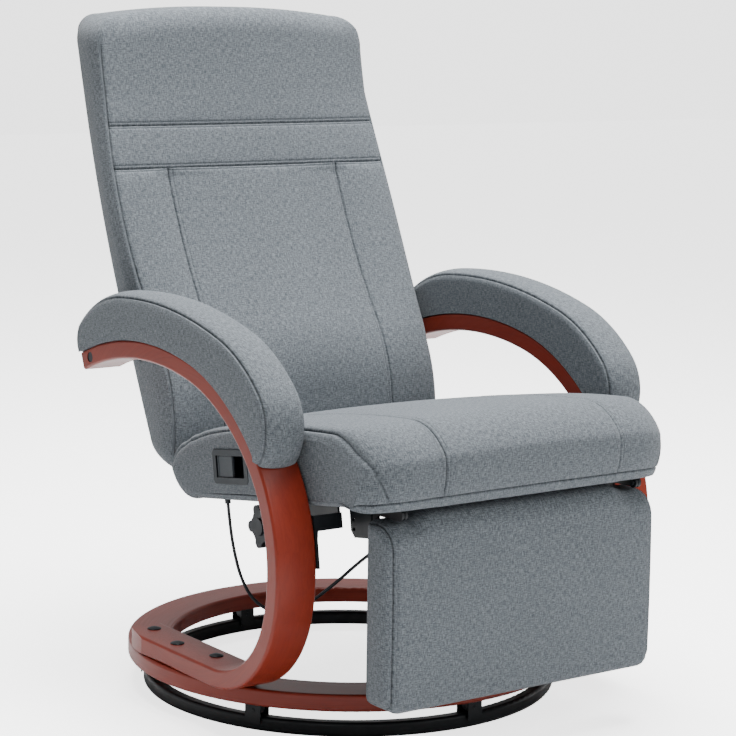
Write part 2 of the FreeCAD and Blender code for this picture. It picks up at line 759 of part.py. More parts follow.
def make_keeper():
    """A blade on the footrest's rear face that stands in the lock's slot."""
    half = keeper_plate / 2
    root = footrest_rear + 3
    tip = footrest_rear + keeper_length
    high = footrest_top - 8
    blade = side_shape([(root, high - keeper_drop), (root, high), (tip - 6, high), (tip, high - 6),
                        (tip, high - 16), (tip - 8, high - 24)], lock_x - half, lock_x + half)
    base = box(lock_x - 14, lock_x + 14, footrest_rear, root, high - keeper_drop - 4, high + 3)
    save("footrest_keeper", blade.fuse(base).removeSplitter())


def cable_end_direction():
    a = FreeCAD.Vector(*cable_points[-2])
    b = FreeCAD.Vector(*cable_points[-1])
    return (b - a).normalize()


def make_lock():
    """The lock housing under the front tube, with the cable's socket, and its lever."""
    x0 = lock_x - lock_width / 2
    x1 = lock_x + lock_width / 2
    low = front_tube[1] - tube_radius - lock_height
    high = front_tube[1]
    front = front_tube[0] - lock_length / 2
    rear = front_tube[0] + lock_length / 2
    body = box(x0, x1, front, rear, low, high)
    long_edges = [e for e in body.Edges if abs(e.tangentAt(e.FirstParameter).x) > 0.9
                  and e.CenterOfMass.z < low + 1]
    body = body.makeFillet(6.0, long_edges)
    slot = box(lock_x - lock_slot / 2, lock_x + lock_slot / 2, front - 1, rear - 6, low - 1, high - 24)
    tube = rod_x(tube_radius, x0 - 1, x1 + 1, front_tube[0], front_tube[1])
    lever_y, lever_z = front_tube[0] + 2, low + 20
    pin = rod_x(lock_pin_radius, x0 - lock_lever_plate - 1.5, x0 + 4, lever_y, lever_z)
    placed = tilt_seat(body.cut([slot, tube]).fuse(pin))
    end = FreeCAD.Vector(*cable_points[-1])
    socket = Part.makeCylinder(cable_spout_radius, cable_socket_length, end, cable_end_direction())
    save("lock_housing", placed.fuse(socket).removeSplitter())
    lx1 = x0 - 0.4
    lx0 = lx1 - lock_lever_plate
    arm = slot_x(6.0, lever_y, lever_z, lever_y + 3, lever_z - 24, lx0, lx1)
    arm = arm.cut(rod_x(lock_pin_radius + running_clearance, lx0 - 1, lx1 + 1, lever_y, lever_z))
    save("lock_lever", tilt_seat(arm))


def paddle_axis():
    """The paddle's pin, as x and y in the seat's own frame."""
    return -seat_half_width + 1.5, bezel_rear - bezel_rim - bezel_wall - paddle_hub_radius - paddle_gap


def make_bezel():
    outside = -seat_half_width - bezel_lip
    lip = box(outside, -seat_half_width, bezel_front, bezel_rear, bezel_low, bezel_high)
    corners = [e for e in lip.Edges if abs(e.tangentAt(e.FirstParameter).x) > 0.9]
    lip = lip.makeFillet(7.0, corners)
    front_edges = [e for e in lip.Edges if abs(e.CenterOfMass.x - outside) < 0.01]
    lip = lip.makeFillet(1.2, front_edges)
    cup = box(-seat_half_width, -seat_half_width + bezel_depth, bezel_front + bezel_rim, bezel_cup_rear,
              bezel_low + bezel_rim, bezel_high - bezel_rim)
    cavity = box(outside - 1, -seat_half_width + bezel_depth - 3, bezel_front + bezel_rim + bezel_wall,
                 bezel_rear - bezel_rim - bezel_wall, bezel_low + bezel_rim + bezel_wall,
                 bezel_high - bezel_rim - bezel_wall)
    px, py = paddle_axis()
    pin_hole = rod_z(paddle_pin_radius + running_clearance, px, py, bezel_low + bezel_rim - 2,
                     bezel_high - bezel_rim + 2)
    bezel = tilt_seat(lip.fuse(cup).cut([cavity, pin_hole]))
    save("paddle_bezel", bezel.fuse(cable_spout(cable_spout_radius)).removeSplitter())


def make_paddle():
    x, y = paddle_axis()
    low = bezel_low + bezel_rim + bezel_wall + paddle_gap
    high = bezel_high - bezel_rim - bezel_wall - paddle_gap
    plate = box(x - paddle_thickness / 2, x + paddle_thickness / 2, y - paddle_length, y, low, high)
    hub = rod_z(paddle_hub_radius, x, y, low, high)
    pin = rod_z(paddle_pin_radius, x, y, low - 2.2, high + 2.2)
    grip = rod_z(paddle_grip_radius, x + 1.0, y - paddle_length + 1.6, low, high)
    save("paddle", tilt_seat(plate.fuse([hub, pin, grip]).removeSplitter()))


def cable_path():
    """Straight runs joined by tangent arcs, each as large as its two runs allow."""
    points = [FreeCAD.Vector(*p) for p in cable_points]
    edges = []
    last = points[0]
    for before, corner, after in zip(points, points[1:], points[2:]):
        back = before - corner
        ahead = after - corner
        reach = 0.45 * min(back.Length, ahead.Length)
        turn = math.pi - back.getAngle(ahead)
        radius = reach / math.tan(turn / 2)
        back.normalize()
        ahead.normalize()
        start = corner + back * reach
        end = corner + ahead * reach
        toward = (back + ahead).normalize()
        middle = corner + toward * (radius / math.cos(turn / 2) - radius)
        edges.append(Part.LineSegment(last, start).toShape())
        edges.append(Part.Arc(start, middle, end).toShape())
        print("cable bend radius", round(radius, 1), "turn", round(math.degrees(turn), 1))
        last = end
    edges.append(Part.LineSegment(last, points[-1]).toShape())
    return Part.Wire(edges)


def make_cable():
    path = cable_path()
    start = FreeCAD.Vector(*cable_points[0])
    direction = FreeCAD.Vector(*cable_points[1]) - start
    circle = Part.Wire(Part.Circle(start, direction, cable_radius).toShape())
    tube = path.makePipeShell([circle], True, False)
    expected = math.pi * cable_radius ** 2 * path.Length
    print("cable length", round(path.Length, 1), "volume ratio", round(tube.Volume / expected, 4))
    save("release_cable", tube)


def front_line(z):
    """The back cushion's front, at its side seams, as y for a height z."""
    y0, z0 = back_front_low
    turn = math.radians(lumbar_turn)
    if z < z0:
        return y0 + (z0 - z) * 0.05
    join = z0 + lumbar_radius * math.sin(turn)
    if z < join:
        return y0 + lumbar_radius - math.sqrt(lumbar_radius ** 2 - (z - z0) ** 2)
    join_y = y0 + lumbar_radius * (1 - math.cos(turn))
    centre_y = join_y - upper_front_radius * math.cos(turn)
    centre_z = join + upper_front_radius * math.sin(turn)
    return centre_y + math.sqrt(upper_front_radius ** 2 - (z - centre_z) ** 2)


def rear_circle():
    """Centre and radius of the rear outline's one bend."""
    a, b, c = [vec(y, z, 0) for y, z in back_rear_points]
    curve = Part.Arc(a, b, c).toShape().Curve
    return curve.Center.x, curve.Center.y, curve.Radius


rear_centre_y, rear_centre_z, rear_radius = rear_circle()


def rear_line(z, inset=0.0):
    """The back cushion's rear as y for a height z, or a line that lies inset in front of it."""
    radius = rear_radius - inset
    return rear_centre_y + math.sqrt(radius ** 2 - (z - rear_centre_z) ** 2)


def back_width_at(z):
    """Half the back's width at a height, under its arched top with rounded corners."""
    below = back_top - z
    if below < back_arch:
        return (back_half_width - back_corner) * math.sqrt(below / back_arch)
    return back_half_width - corner_inset(below - back_arch, back_corner)


def barrel(z):
    """1 where the stuffing swells the back's sides most, 0 where it doesn't."""
    share = min(1.0, max(0.0, (z - barrel_start) / (barrel_end - barrel_start)))
    return math.sin(math.pi * share)


def back_section(z, seam, panels):
    """A level outline of the back cushion: its front in one or three crowned arcs."""
    foot = corner_inset(z - back_bottom, back_end_round)
    middle = max(foot, corner_inset(back_top - z, back_end_round))
    full = back_half_width - foot * 0.8
    narrow = min(1.0, (back_half_width - back_width_at(z)) / back_corner)
    side_end = max(foot, back_end_round * narrow)
    swell = barrel(z)
    half = min(full, back_width_at(z)) + barrel_width * swell - seam * 0.3
    rear_half = half - barrel_width * swell - back_rear_draw * (1 - narrow)
    front = front_line(z) + side_end * 0.75 + seam - barrel_front * swell
    rear = rear_line(z) - side_end * 0.55
    rise = min(1.0, max(0.0, (z - crown_start) / crown_fade))
    crown = (low_crown + (back_crown - low_crown) * rise) * (1 - 0.6 * foot / back_end_round)
    face = front_line(z) + middle * 0.75 + seam - crown
    bulge = half + back_side_bulge * (1 - side_end / back_end_round) + 0.8
    if panels == 1:
        front_points = [(-half, front), (0, face), (half, front)]
    else:
        seam_y = front_line(z) + seam - crown * 0.62 + seam_depth * 0.6 * rise
        out = (half + back_seam_x) / 2
        wing = (front + seam_y) / 2 - crown * 0.35
        front_points = [(-half, front), (-out, wing), (-back_seam_x, seam_y), (0, face),
                        (back_seam_x, seam_y), (out, wing), (half, front)]
    points = [vec(x, y, z) for x, y in front_points]
    edges = []
    for k in range(0, len(points) - 2, 2):
        edges.append(Part.Arc(points[k], points[k + 1], points[k + 2]).toShape())
    side = front + (rear - front) * 0.4
    edges.append(Part.Arc(vec(half, front, z), vec(bulge, side, z), vec(rear_half, rear, z)).toShape())
    rear_middle = vec(0, rear_line(z) - middle * 0.55, z)
    edges.append(bowed_edge(vec(rear_half, rear, z), rear_middle, vec(-rear_half, rear, z)))
    edges.append(Part.Arc(vec(-rear_half, rear, z), vec(-bulge, side, z), vec(-half, front, z)).toShape())
    return Part.Wire(edges)


def bowed_edge(start, middle, end):
    """An arc through three points, or a straight edge where they lie in line."""
    if abs(middle.y - start.y) < 0.01:
        return Part.LineSegment(start, end).toShape()
    return Part.Arc(start, middle, end).toShape()


def back_part(levels, panels):
    """One sewn panel of the back, between levels given as (height, seam depth)."""
    return Part.makeLoft([back_section(z, seam, panels) for z, seam in levels], True, False)


def rear_slab(inset_outer, inset_inner, low, high, half_width):
    """A slab that follows the rear outline between two depths and two heights."""
    middle = (low + high) / 2
    outer = [(rear_line(z, inset_outer), z) for z in (low, middle, high)]
    inner = [(rear_line(z, inset_inner), z) for z in (high, middle, low)]
    edges = arc_edges(outer, -half_width) + arc_edges(inner, -half_width)
    edges += [line_edge(outer[-1], inner[0], -half_width), line_edge(inner[-1], outer[0], -half_width)]
    return Part.Face(Part.Wire(Part.__sortEdges__(edges))).extrude(vec(2 * half_width, 0, 0))


def back_levels():
    """Heights of the level outlines: below the low seam, between the seams, and the head."""
    low_shares = (0.0, 0.015, 0.046, 0.09, 0.217, 0.37, 0.46, 0.6, 0.74, 0.87, 0.94)
    low = [(back_bottom + (seam_low - back_bottom) * share, 0) for share in low_shares]
    swell = (seam_high - seam_low) * 0.2
    band = [(seam_low, seam_depth), (seam_low + swell, 0), (seam_high - swell, 0), (seam_high, seam_depth)]
    shoulder = back_top - back_arch - back_corner
    head = [(seam_high, seam_depth), (seam_high + swell, 0), ((seam_high + shoulder) / 2, 0), (shoulder, 0)]
    head += [(shoulder + back_corner * share, 0) for share in (0.35, 0.67, 0.9)]
    head += [(back_top - back_arch * share ** 2, 0) for share in (1.0, 0.88, 0.72, 0.55, 0.38, 0.2, 0.08)]
    return low + [(seam_low, seam_depth)], band, head


def make_back_cushion():
    low, band, head = back_levels()
    whole = back_part(low, 3).fuse([back_part(band, 1), back_part(head, 1)])
    pocket = rear_slab(-60.0, pocket_depth, back_bottom - 30, pocket_top, pocket_half_width)
    y, z = back_pivot
    right_port = rod_x(bush_radius + port_gap, -back_half_width - 10, -pocket_half_width + 10, y, z)
    hollow = box(-pocket_half_width - 0.5, -pocket_half_width + 8, y - bracket_reach - port_gap,
                 rear_line(z, back_tube_inset), z - bracket_root - port_gap, z + bracket_root + port_gap)
    save("back_cushion", whole.cut([pocket, right_port, hollow, mirrored(right_port), mirrored(hollow)]))


def make_back_panel():
    slab = rear_slab(0.0, panel_thickness, panel_bottom, pocket_top - soft_gap, pocket_half_width - soft_gap)
    save("back_panel", slab)


def back_tube_path(x):
    points = [vec(x, rear_line(z, back_tube_inset), z)
              for z in (back_tube_low, (back_tube_low + back_tube_high) / 2, back_tube_high)]
    return Part.Wire(Part.Arc(*points).toShape()), points


def make_back_frame():
    path, points = back_tube_path(-back_tube_x)
    arc = path.Edges[0]
    tangent = arc.tangentAt(arc.FirstParameter)
    outer = Part.Wire(Part.Circle(points[0], tangent, tube_radius).toShape())
    side = path.makePipeShell([outer], True, False)
    save_pair("back_side_tube", side)
    for name, height in (("back_top_tube", back_tube_high - 20), ("back_lower_tube", back_tube_low + 25)):
        cross = rod_x(tube_radius - 1, -back_tube_x, back_tube_x, rear_line(height, back_tube_inset), height)
        save(name, trim_cross(cross, side))
    y, z = back_pivot
    tube_y = rear_line(z, back_tube_inset)
    x0 = -pocket_half_width + 0.5
    plate = side_shape([(y - bracket_reach, z - 14), (y - bracket_reach, z + 14), (tube_y, z + bracket_root),
                        (tube_y, z - bracket_root)], x0, x0 + 4)
    bush = rod_x(bush_radius, -back_half_width - 6, x0 + 4, y, z)
    hole = rod_x(pivot_bolt_radius + running_clearance, -back_half_width - 7, x0 + 5, y, z)
    save_pair("back_bracket", plate.fuse(bush).removeSplitter().cut([side, hole]))
    make_back_levers()


def trim_cross(cross, side):
    """The middle piece of a cross tube, cut to seat on both side tubes."""
    pieces = cross.cut([side, mirrored(side)]).Solids
    return max(pieces, key=lambda piece: piece.Volume)


def make_back_levers():
    """Plates from the lower cross tube down to the seat's slotted links, with their pins."""
    height = back_tube_low + 25
    ty = rear_line(height, back_tube_inset)
    y, z = link_point
    x0 = -lever_x - lever_plate
    clear = rear_line(panel_bottom, panel_thickness) - 3.0
    plate = side_shape([(ty - 15, height + 6), (ty + 12, height + 12), (ty + 12, height - 4),
                        (clear, panel_bottom), (y + 11, z), (y - 11, z)], x0, -lever_x)
    foot = rod_x(11.0, x0, -lever_x, y, z)
    pin = rod_x(link_pin_radius, x0, -lever_x + 12, y, z)
    hole = rod_x(tube_radius - 1, x0 - 1, -lever_x + 1, ty, height)
    save_pair("back_lever", plate.fuse([foot, pin]).removeSplitter().cut(hole))


make_floor_ring()
make_wood_ring()
make_roller_parts()
make_arm()
make_foot_bolts()
make_pivot_bolts()
make_arm_pad()
make_seat_cushion()
make_rails()
make_glide_plates()
make_clamp_bolts()
make_knobs()
make_seat_tubes()
make_hinge_plates()
make_footrest_panel()
make_footrest_leaves()
make_keeper()
make_lock()
make_bezel()
make_paddle()
make_cable()
make_back_cushion()
make_back_panel()
make_back_frame()
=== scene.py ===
import bpy
import bmesh
from math import atan2, copysign, cos, dist, exp, hypot, pi, radians, sin, sqrt, tau
from mathutils import Matrix, Vector, noise


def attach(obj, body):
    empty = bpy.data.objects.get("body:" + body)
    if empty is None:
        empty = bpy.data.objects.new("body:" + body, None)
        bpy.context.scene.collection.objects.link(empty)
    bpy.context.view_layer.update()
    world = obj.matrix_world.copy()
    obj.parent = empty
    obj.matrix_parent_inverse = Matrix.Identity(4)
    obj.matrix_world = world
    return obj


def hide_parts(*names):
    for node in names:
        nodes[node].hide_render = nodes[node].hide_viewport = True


# Swivel recliner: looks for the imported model. Metres in Blender, millimetres in the sizes below.
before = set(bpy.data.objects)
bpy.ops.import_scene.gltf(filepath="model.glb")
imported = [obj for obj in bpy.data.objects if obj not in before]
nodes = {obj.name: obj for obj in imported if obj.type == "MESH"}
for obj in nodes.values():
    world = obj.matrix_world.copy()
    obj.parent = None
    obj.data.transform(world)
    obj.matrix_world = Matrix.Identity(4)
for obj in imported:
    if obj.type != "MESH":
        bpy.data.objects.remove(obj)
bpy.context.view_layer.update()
collection = bpy.context.scene.collection
print("frame loaded:", len(nodes), "nodes")


def newObject(name, data):
    made = bpy.data.objects.new(name, data)
    collection.objects.link(made)
    return made


# Camera
camera = {
    "place": (-2.0308, -2.9121, 1.0416),
    "heading": 35.30,      # degrees from +Y towards +X
    "down": 8.82,
    "roll": 0.70,
    "lens": 113.5, "sensor": 36.0,
}


def makeCamera():
    heading, down, roll = [radians(camera[key]) for key in ("heading", "down", "roll")]
    forward = Vector((sin(heading) * cos(down), cos(heading) * cos(down), -sin(down)))
    right = Vector((cos(heading), -sin(heading), 0))
    up = right.cross(forward)
    turnedRight = right * cos(roll) + up * sin(roll)
    turnedUp = up * cos(roll) - right * sin(roll)
    data = bpy.data.cameras.new("photoCamera")
    data.lens = camera["lens"]
    data.sensor_width = camera["sensor"]
    data.sensor_fit = "HORIZONTAL"
    eye = newObject("photoCamera", data)
    turn = Matrix((turnedRight, turnedUp, -forward)).transposed().to_4x4()
    eye.matrix_world = Matrix.Translation(camera["place"]) @ turn
    bpy.context.scene.camera = eye


makeCamera()


# Release cable
releaseCable = {
    "diameter": 0.005,
    "length": 0.492,
    "roundCuts": 4, "runCuts": 10,
    # the same points as the route in the part's source, in metres
    "route": [
        (-0.257, -0.053, 0.316), (-0.253912, -0.054, 0.281), (-0.246964, -0.055, 0.240),
        (-0.236928, -0.058, 0.200), (-0.223997, -0.071, 0.167), (-0.203925, -0.098, 0.150),
        (-0.178063, -0.138, 0.165), (-0.152008, -0.178, 0.204), (-0.124988, -0.217, 0.250),
        (-0.095073, -0.261, 0.290), (-0.064, -0.304, 0.316),
    ],
}


def makeCable():
    curve = bpy.data.curves.new("releaseCable", "CURVE")
    curve.dimensions = "3D"
    curve.bevel_depth = 1.0                # each point's radius gives the thickness
    curve.bevel_resolution = releaseCable["roundCuts"]
    curve.resolution_u = releaseCable["runCuts"]
    spline = curve.splines.new("NURBS")
    spline.points.add(len(releaseCable["route"]) - 1)
    for point, place in zip(spline.points, releaseCable["route"]):
        point.co = (*place, 1)
        point.radius = releaseCable["diameter"] / 2
    spline.order_u = 3
    spline.use_endpoint_u = True
    cable = newObject("releaseCable", curve)
    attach(cable, "seat")
    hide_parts("release_cable")
    return cable


cable = makeCable()
print("camera and cable made")


# Node helpers
def plug(tree, node, inputs):
    for key, value in inputs.items():
        if isinstance(value, bpy.types.NodeSocket):
            tree.links.new(value, node.inputs[key])
        else:
            node.inputs[key].default_value = value


def add(tree, kind, inputs, **settings):
    made = tree.nodes.new(kind)
    for key, value in settings.items():
        setattr(made, key, value)
    plug(tree, made, inputs)
    return made


def maths(tree, operation, first, second=0.0):
    return add(tree, "ShaderNodeMath", {0: first, 1: second}, operation=operation).outputs[0]


def times(tree, first, second):
    return maths(tree, "MULTIPLY", first, second)


def vectorMaths(tree, operation, first, second):
    place = "Scale" if operation == "SCALE" else 1
    return add(tree, "ShaderNodeVectorMath", {0: first, place: second}, operation=operation).outputs[0]


def remap(tree, value, low, high, start, end):
    return add(tree, "ShaderNodeMapRange", {0: value, 1: low, 2: high, 3: start, 4: end}).outputs[0]


def mixColour(tree, amount, first, second):
    return add(tree, "ShaderNodeMix", {0: amount, 6: first, 7: second}, data_type="RGBA").outputs[2]


def noiseAt(tree, vector, stretch, offset, detail=2.0, rough=0.55):
    moved = vectorMaths(tree, "ADD", vectorMaths(tree, "MULTIPLY", vector, stretch), offset)
    return add(tree, "ShaderNodeTexNoise", {"Vector": moved, "Scale": 1.0, "Detail": detail,
                                            "Roughness": rough}).outputs[0]


def newGroup(name, inputs):
    # Every shared effect gives out a colour, a height and a roughness.
    tree = bpy.data.node_groups.new(name, "ShaderNodeTree")
    for label, value in inputs.items():
        kind = "Vector" if value is None else "Color" if isinstance(value, tuple) else "Float"
        socket = tree.interface.new_socket(label, in_out="INPUT", socket_type="NodeSocket" + kind)
        if value is not None:
            socket.default_value = value
    for label, kind in (("Color", "Color"), ("Height", "Float"), ("Roughness", "Float")):
        tree.interface.new_socket(label, in_out="OUTPUT", socket_type="NodeSocket" + kind)
    return tree, tree.nodes.new("NodeGroupInput").outputs, tree.nodes.new("NodeGroupOutput")


# Shared effects: a noise is given by stretch, offset, detail and roughness; a range by its two
# ends and the results there.
weave = {
    "warp": ((0.78, 0.120, 1), (3, 7, 0), 2.0, 0.65),
    "weft": ((0.135, 0.80, 1), (31, 17, 5), 2.0, 0.65),
    "broad": ((0.011, 0.008, 1), (5, 9, 2), 3.0),
    "fleck": ((0.9, 0.75, 1), (1, 2, 3), 1.0),
    "slubs": {"Light slub": 0.70, "Dark slub": 0.30},      # noise value where a slub is at its fullest
    "warpShare": 0.85, "weftShare": 0.90, "fleckRange": (0.5, 0.75, 0.0, 0.45),
    # tone varies at random; the gap range darkens the colour between the threads: painted shade between the
    # yarns
    "tone": (0.3, 0.7, 0.97, 1.03), "gap": (0.0, 0.5, 0.72, 1.0), "rough": (0.3, 0.7, 0.97, 0.84),
    "checkerHeight": 0.35, "threadHeight": 0.5, "slubHeight": 0.8,
}
grain = {
    "fine": ((0.9, 0.9, 0.012), (0, 0, 0), 3.0, 0.6),
    "pores": ((2.2, 2.2, 0.05), (9, 4, 2), 2.0, 0.6),
    "broad": ((0.06, 0.09, 0.0025), (3, 1, 4), 3.0),
    "rings": 46.0, "light": (0.4, 0.7, 0.0, 0.8), "dark": (0.5, 0.25, 0.0, 0.9),
    "ringDark": (0.2, 1.0, 0.0, 0.55), "pore": (0.42, 0.28, 0.0, 1.0), "rough": (0.3, 0.7, 0.40, 0.31),
    "fineHeight": 0.6, "poreShare": 0.5,
}
clothLook = {
    "inputs": {"Yarn": (0.084, 0.096, 0.108, 1), "Light slub": (0.162, 0.179, 0.195, 1),
               "Dark slub": (0.036, 0.043, 0.050, 1), "Pitch": 1.5},
    "bump": 0.45, "relief": 0.0006,
    "shader": {"Sheen Weight": 0.08, "Sheen Roughness": 0.5, "Specular IOR Level": 0.2},
}
woodLook = {
    "inputs": {"Base": (0.155, 0.0165, 0.0075, 1), "Dark grain": (0.090, 0.0095, 0.0045, 1),
               "Light grain": (0.200, 0.0255, 0.0115, 1), "Strength": 0.40},
    "run": 260.0,          # millimetres along the grain for a turn of one radian
    "bump": 0.12, "relief": 0.0004,
    "shader": {"Specular IOR Level": 0.16, "Coat Weight": 0.10, "Coat Roughness": 0.22},
}
pitting = {
    "inputs": {"Base": (0.01, 0.013, 0.016, 1), "Worn": (0.05, 0.055, 0.06, 1), "Grain": 1500.0,
               "Rough low": 0.38, "Rough high": 0.6},
    "detail": 2.0, "broad": 24.0, "broadDetail": 4.0, "worn": (0.5, 0.8, 0.0, 0.35), "rough": (0.3, 0.7),
}


def makeWeaveGroup():
    tree, given, out = newGroup("heatherWeave", {"Vector": None, **clothLook["inputs"]})
    place = vectorMaths(tree, "SCALE", given["Vector"], 1000.0)
    apart = add(tree, "ShaderNodeSeparateXYZ", {0: place}).outputs
    warp, weft, broad, fleck = [noiseAt(tree, place, *weave[key])
                                for key in ("warp", "weft", "broad", "fleck")]
    runs = [maths(tree, "DIVIDE", apart[axis], given["Pitch"]) for axis in (0, 1)]
    waves = [maths(tree, "SINE", times(tree, run, tau)) for run in runs]
    threads = maths(tree, "MAXIMUM", *[maths(tree, "ABSOLUTE", wave) for wave in waves])
    colour = given["Yarn"]
    for slub, limit in weave["slubs"].items():
        for strand, share in ((warp, weave["warpShare"]), (weft, weave["weftShare"])):
            colour = mixColour(tree, remap(tree, strand, 0.5, limit, 0.0, share), colour, given[slub])
    colour = mixColour(tree, remap(tree, fleck, *weave["fleckRange"]), colour, given["Light slub"])
    # painted shade: the colour is darkened in the gaps between threads, times the random broad tone
    toneAndGapShade = times(tree, remap(tree, broad, *weave["tone"]), remap(tree, threads, *weave["gap"]))
    height = times(tree, times(tree, *waves), weave["checkerHeight"])
    for part, share in ((threads, "threadHeight"), (warp, "slubHeight"), (weft, "slubHeight")):
        height = maths(tree, "ADD", height, times(tree, part, weave[share]))
    plug(tree, out, {"Color": vectorMaths(tree, "SCALE", colour, toneAndGapShade), "Height": height,
                     "Roughness": remap(tree, warp, *weave["rough"])})
    return tree


def makeGrainGroup():
    # x runs across the grain, y through the layers, z along it, all in millimetres
    tree, given, out = newGroup("woodGrain", {"Vector": None, **woodLook["inputs"]})
    fine, pores, broad = [noiseAt(tree, given["Vector"], *grain[key]) for key in ("fine", "pores", "broad")]
    rings = maths(tree, "SINE", times(tree, broad, grain["rings"]))
    pore = remap(tree, pores, *grain["pore"])
    colour = given["Base"]
    for amount, label in ((remap(tree, broad, *grain["light"]), "Light grain"),
                          (remap(tree, fine, *grain["dark"]), "Dark grain"),
                          (remap(tree, rings, *grain["ringDark"]), "Dark grain"),
                          (times(tree, pore, grain["poreShare"]), "Dark grain")):
        colour = mixColour(tree, times(tree, amount, given["Strength"]), colour, given[label])
    height = maths(tree, "SUBTRACT", times(tree, fine, grain["fineHeight"]),
                   times(tree, pore, grain["poreShare"]))
    plug(tree, out, {"Color": colour, "Height": height, "Roughness": remap(tree, fine, *grain["rough"])})
    return tree


def makePittingGroup():
    tree, given, out = newGroup("finePitting", {"Vector": None, **pitting["inputs"]})
    fine, broad = [add(tree, "ShaderNodeTexNoise", {"Vector": given["Vector"], "Scale": scale,
                                                    "Detail": detail}).outputs[0]
                   for scale, detail in ((given["Grain"], pitting["detail"]),
                                         (pitting["broad"], pitting["broadDetail"]))]
    plug(tree, out, {
        "Color": mixColour(tree, remap(tree, broad, *pitting["worn"]), given["Base"], given["Worn"]),
        "Height": fine,
        "Roughness": remap(tree, broad, *pitting["rough"], given["Rough low"], given["Rough high"])})
    return tree


weaveGroup = makeWeaveGroup()
grainGroup = makeGrainGroup()
pittingGroup = makePittingGroup()


# Materials: a look's shader entries go straight on the shader's own sockets
def newMaterial(name):
    material = bpy.data.materials.new(name)
    material.use_nodes = True
    tree = material.node_tree
    return material, tree, tree.nodes["Principled BSDF"]


def finishWith(tree, shader, group, values, look):
    placed = add(tree, "ShaderNodeGroup", values, node_tree=group).outputs
    relief = add(tree, "ShaderNodeBump", {"Strength": look["bump"], "Distance": look["relief"],
                                          "Height": placed["Height"]})
    plug(tree, shader, {"Base Color": placed["Color"], "Roughness": placed["Roughness"],
                        "Normal": relief.outputs[0], **look["shader"]})


def objectPlace(tree):
    return add(tree, "ShaderNodeTexCoord", {}).outputs["Object"]


def makeCloth(name, dim=1.0):
    material, tree, shader = newMaterial(name)
    uv = add(tree, "ShaderNodeUVMap", {}, uv_map="weave").outputs[0]
    values = {label: (*[part * dim for part in value[:3]], 1) if isinstance(value, tuple) else value
              for label, value in clothLook["inputs"].items()}
    finishWith(tree, shader, weaveGroup, {"Vector": uv, **values}, clothLook)
    return material


def makeWood(name, centre, axes):
    # The grain turns about a centre: the ring's own axis, or the middle of the arm's loop.
    # The first two axes are those it turns in, the third runs across it.
    material, tree, shader = newMaterial(name)
    apart = add(tree, "ShaderNodeSeparateXYZ", {0: objectPlace(tree)}).outputs
    first, second, across = [times(tree, apart[axis], 1000.0) for axis in axes]
    first = maths(tree, "SUBTRACT", first, centre[0])
    second = maths(tree, "SUBTRACT", second, centre[1])
    reach = maths(tree, "SQRT", maths(tree, "ADD", times(tree, first, first),
                                      times(tree, second, second)))
    along = times(tree, maths(tree, "ARCTAN2", second, first), woodLook["run"])
    vector = add(tree, "ShaderNodeCombineXYZ", {0: across, 1: reach, 2: along}).outputs[0]
    finishWith(tree, shader, grainGroup, {"Vector": vector, **woodLook["inputs"]}, woodLook)
    return material


# base and worn colour, fineness of the grain, least and greatest roughness
skinLooks = {
    "stitchThread": ((0.05, 0.06, 0.07, 1), (0.09, 0.10, 0.11, 1), 2500.0, 0.6, 0.8),
    "blackPaintedSteel": ((0.005, 0.0065, 0.008, 1), (0.014, 0.017, 0.020, 1), 900.0, 0.34, 0.55),
    "blackPlastic": ((0.008, 0.010, 0.013, 1), (0.018, 0.022, 0.026, 1), 1600.0, 0.42, 0.6),
    "bezelPlastic": ((0.010, 0.014, 0.018, 1), (0.020, 0.025, 0.030, 1), 1600.0, 0.42, 0.58),
    "paddlePlastic": ((0.022, 0.028, 0.034, 1), (0.034, 0.040, 0.047, 1), 1600.0, 0.4, 0.55),
    "rollerPlastic": ((0.03, 0.033, 0.036, 1), (0.06, 0.064, 0.068, 1), 700.0, 0.35, 0.5),
    "zincPlate": ((0.36, 0.37, 0.38, 1), (0.5, 0.5, 0.5, 1), 500.0, 0.28, 0.45),
}
skinReliefs = {
    "stitchThread": {"bump": 0.3, "relief": 0.0002, "shader": {}},
    "zincPlate": {"bump": 0.15, "relief": 0.0003, "shader": {"Metallic": 1.0}},
    "others": {"bump": 0.25, "relief": 0.0003, "shader": {"Specular IOR Level": 0.22}},
}


def makeSkin(name):
    material, tree, shader = newMaterial(name)
    values = dict(zip(pitting["inputs"], skinLooks[name]))
    finishWith(tree, shader, pittingGroup, {"Vector": objectPlace(tree), **values},
               skinReliefs.get(name, skinReliefs["others"]))
    return material


cloth = makeCloth("upholsteryCloth")
rearCloth = makeCloth("rearLiningCloth", 0.8)
armWood = makeWood("bentArmWood", (-60.0, 300.0), (1, 2, 0))
ringWood = makeWood("baseRingWood", (0.0, 0.0), (0, 1, 2))
skins = {name: makeSkin(name) for name in skinLooks}
plastic = skins["blackPlastic"]
cable.data.materials.append(plastic)
nodeLooks = {
    "arm_pad": cloth, "arm_": armWood, "wood_ring": ringWood, "knob": plastic,
    "paddle_bezel": skins["bezelPlastic"], "paddle": skins["paddlePlastic"], "foot_bolt": plastic,
    "lock_lever": plastic, "clamp_bolt": skins["zincPlate"], "pivot_bolt": plastic,
    "roller_bracket": skins["blackPaintedSteel"], "roller_": skins["rollerPlastic"],
    "": skins["blackPaintedSteel"],
}
for name, made in nodes.items():
    if not made.material_slots:
        made.data.materials.append(None)
    for slotPlace in made.material_slots:
        slotPlace.link = "OBJECT"
        slotPlace.material = next(look for start, look in nodeLooks.items() if name.startswith(start))
print("materials made")


# Padded forms
besideSeam = (0.0, 0.8, 1.7, 2.8, 4.2, 6.0, 9.0, 13.0)     # distances of the grid lines from a seam
meshRules = {
    "sharpAngle": 50.0, "sideFacing": 0.8,     # from this share of its normal a face counts as a side
    "widestStep": 1.2, "leastStep": 0.3,       # in grid steps, and in millimetres
}
sewnDepths = {"fold": 2.6, "foldHalf": 1.9, "stitch": 0.9, "stitchWidth": 1.3}
arcSteps = 12


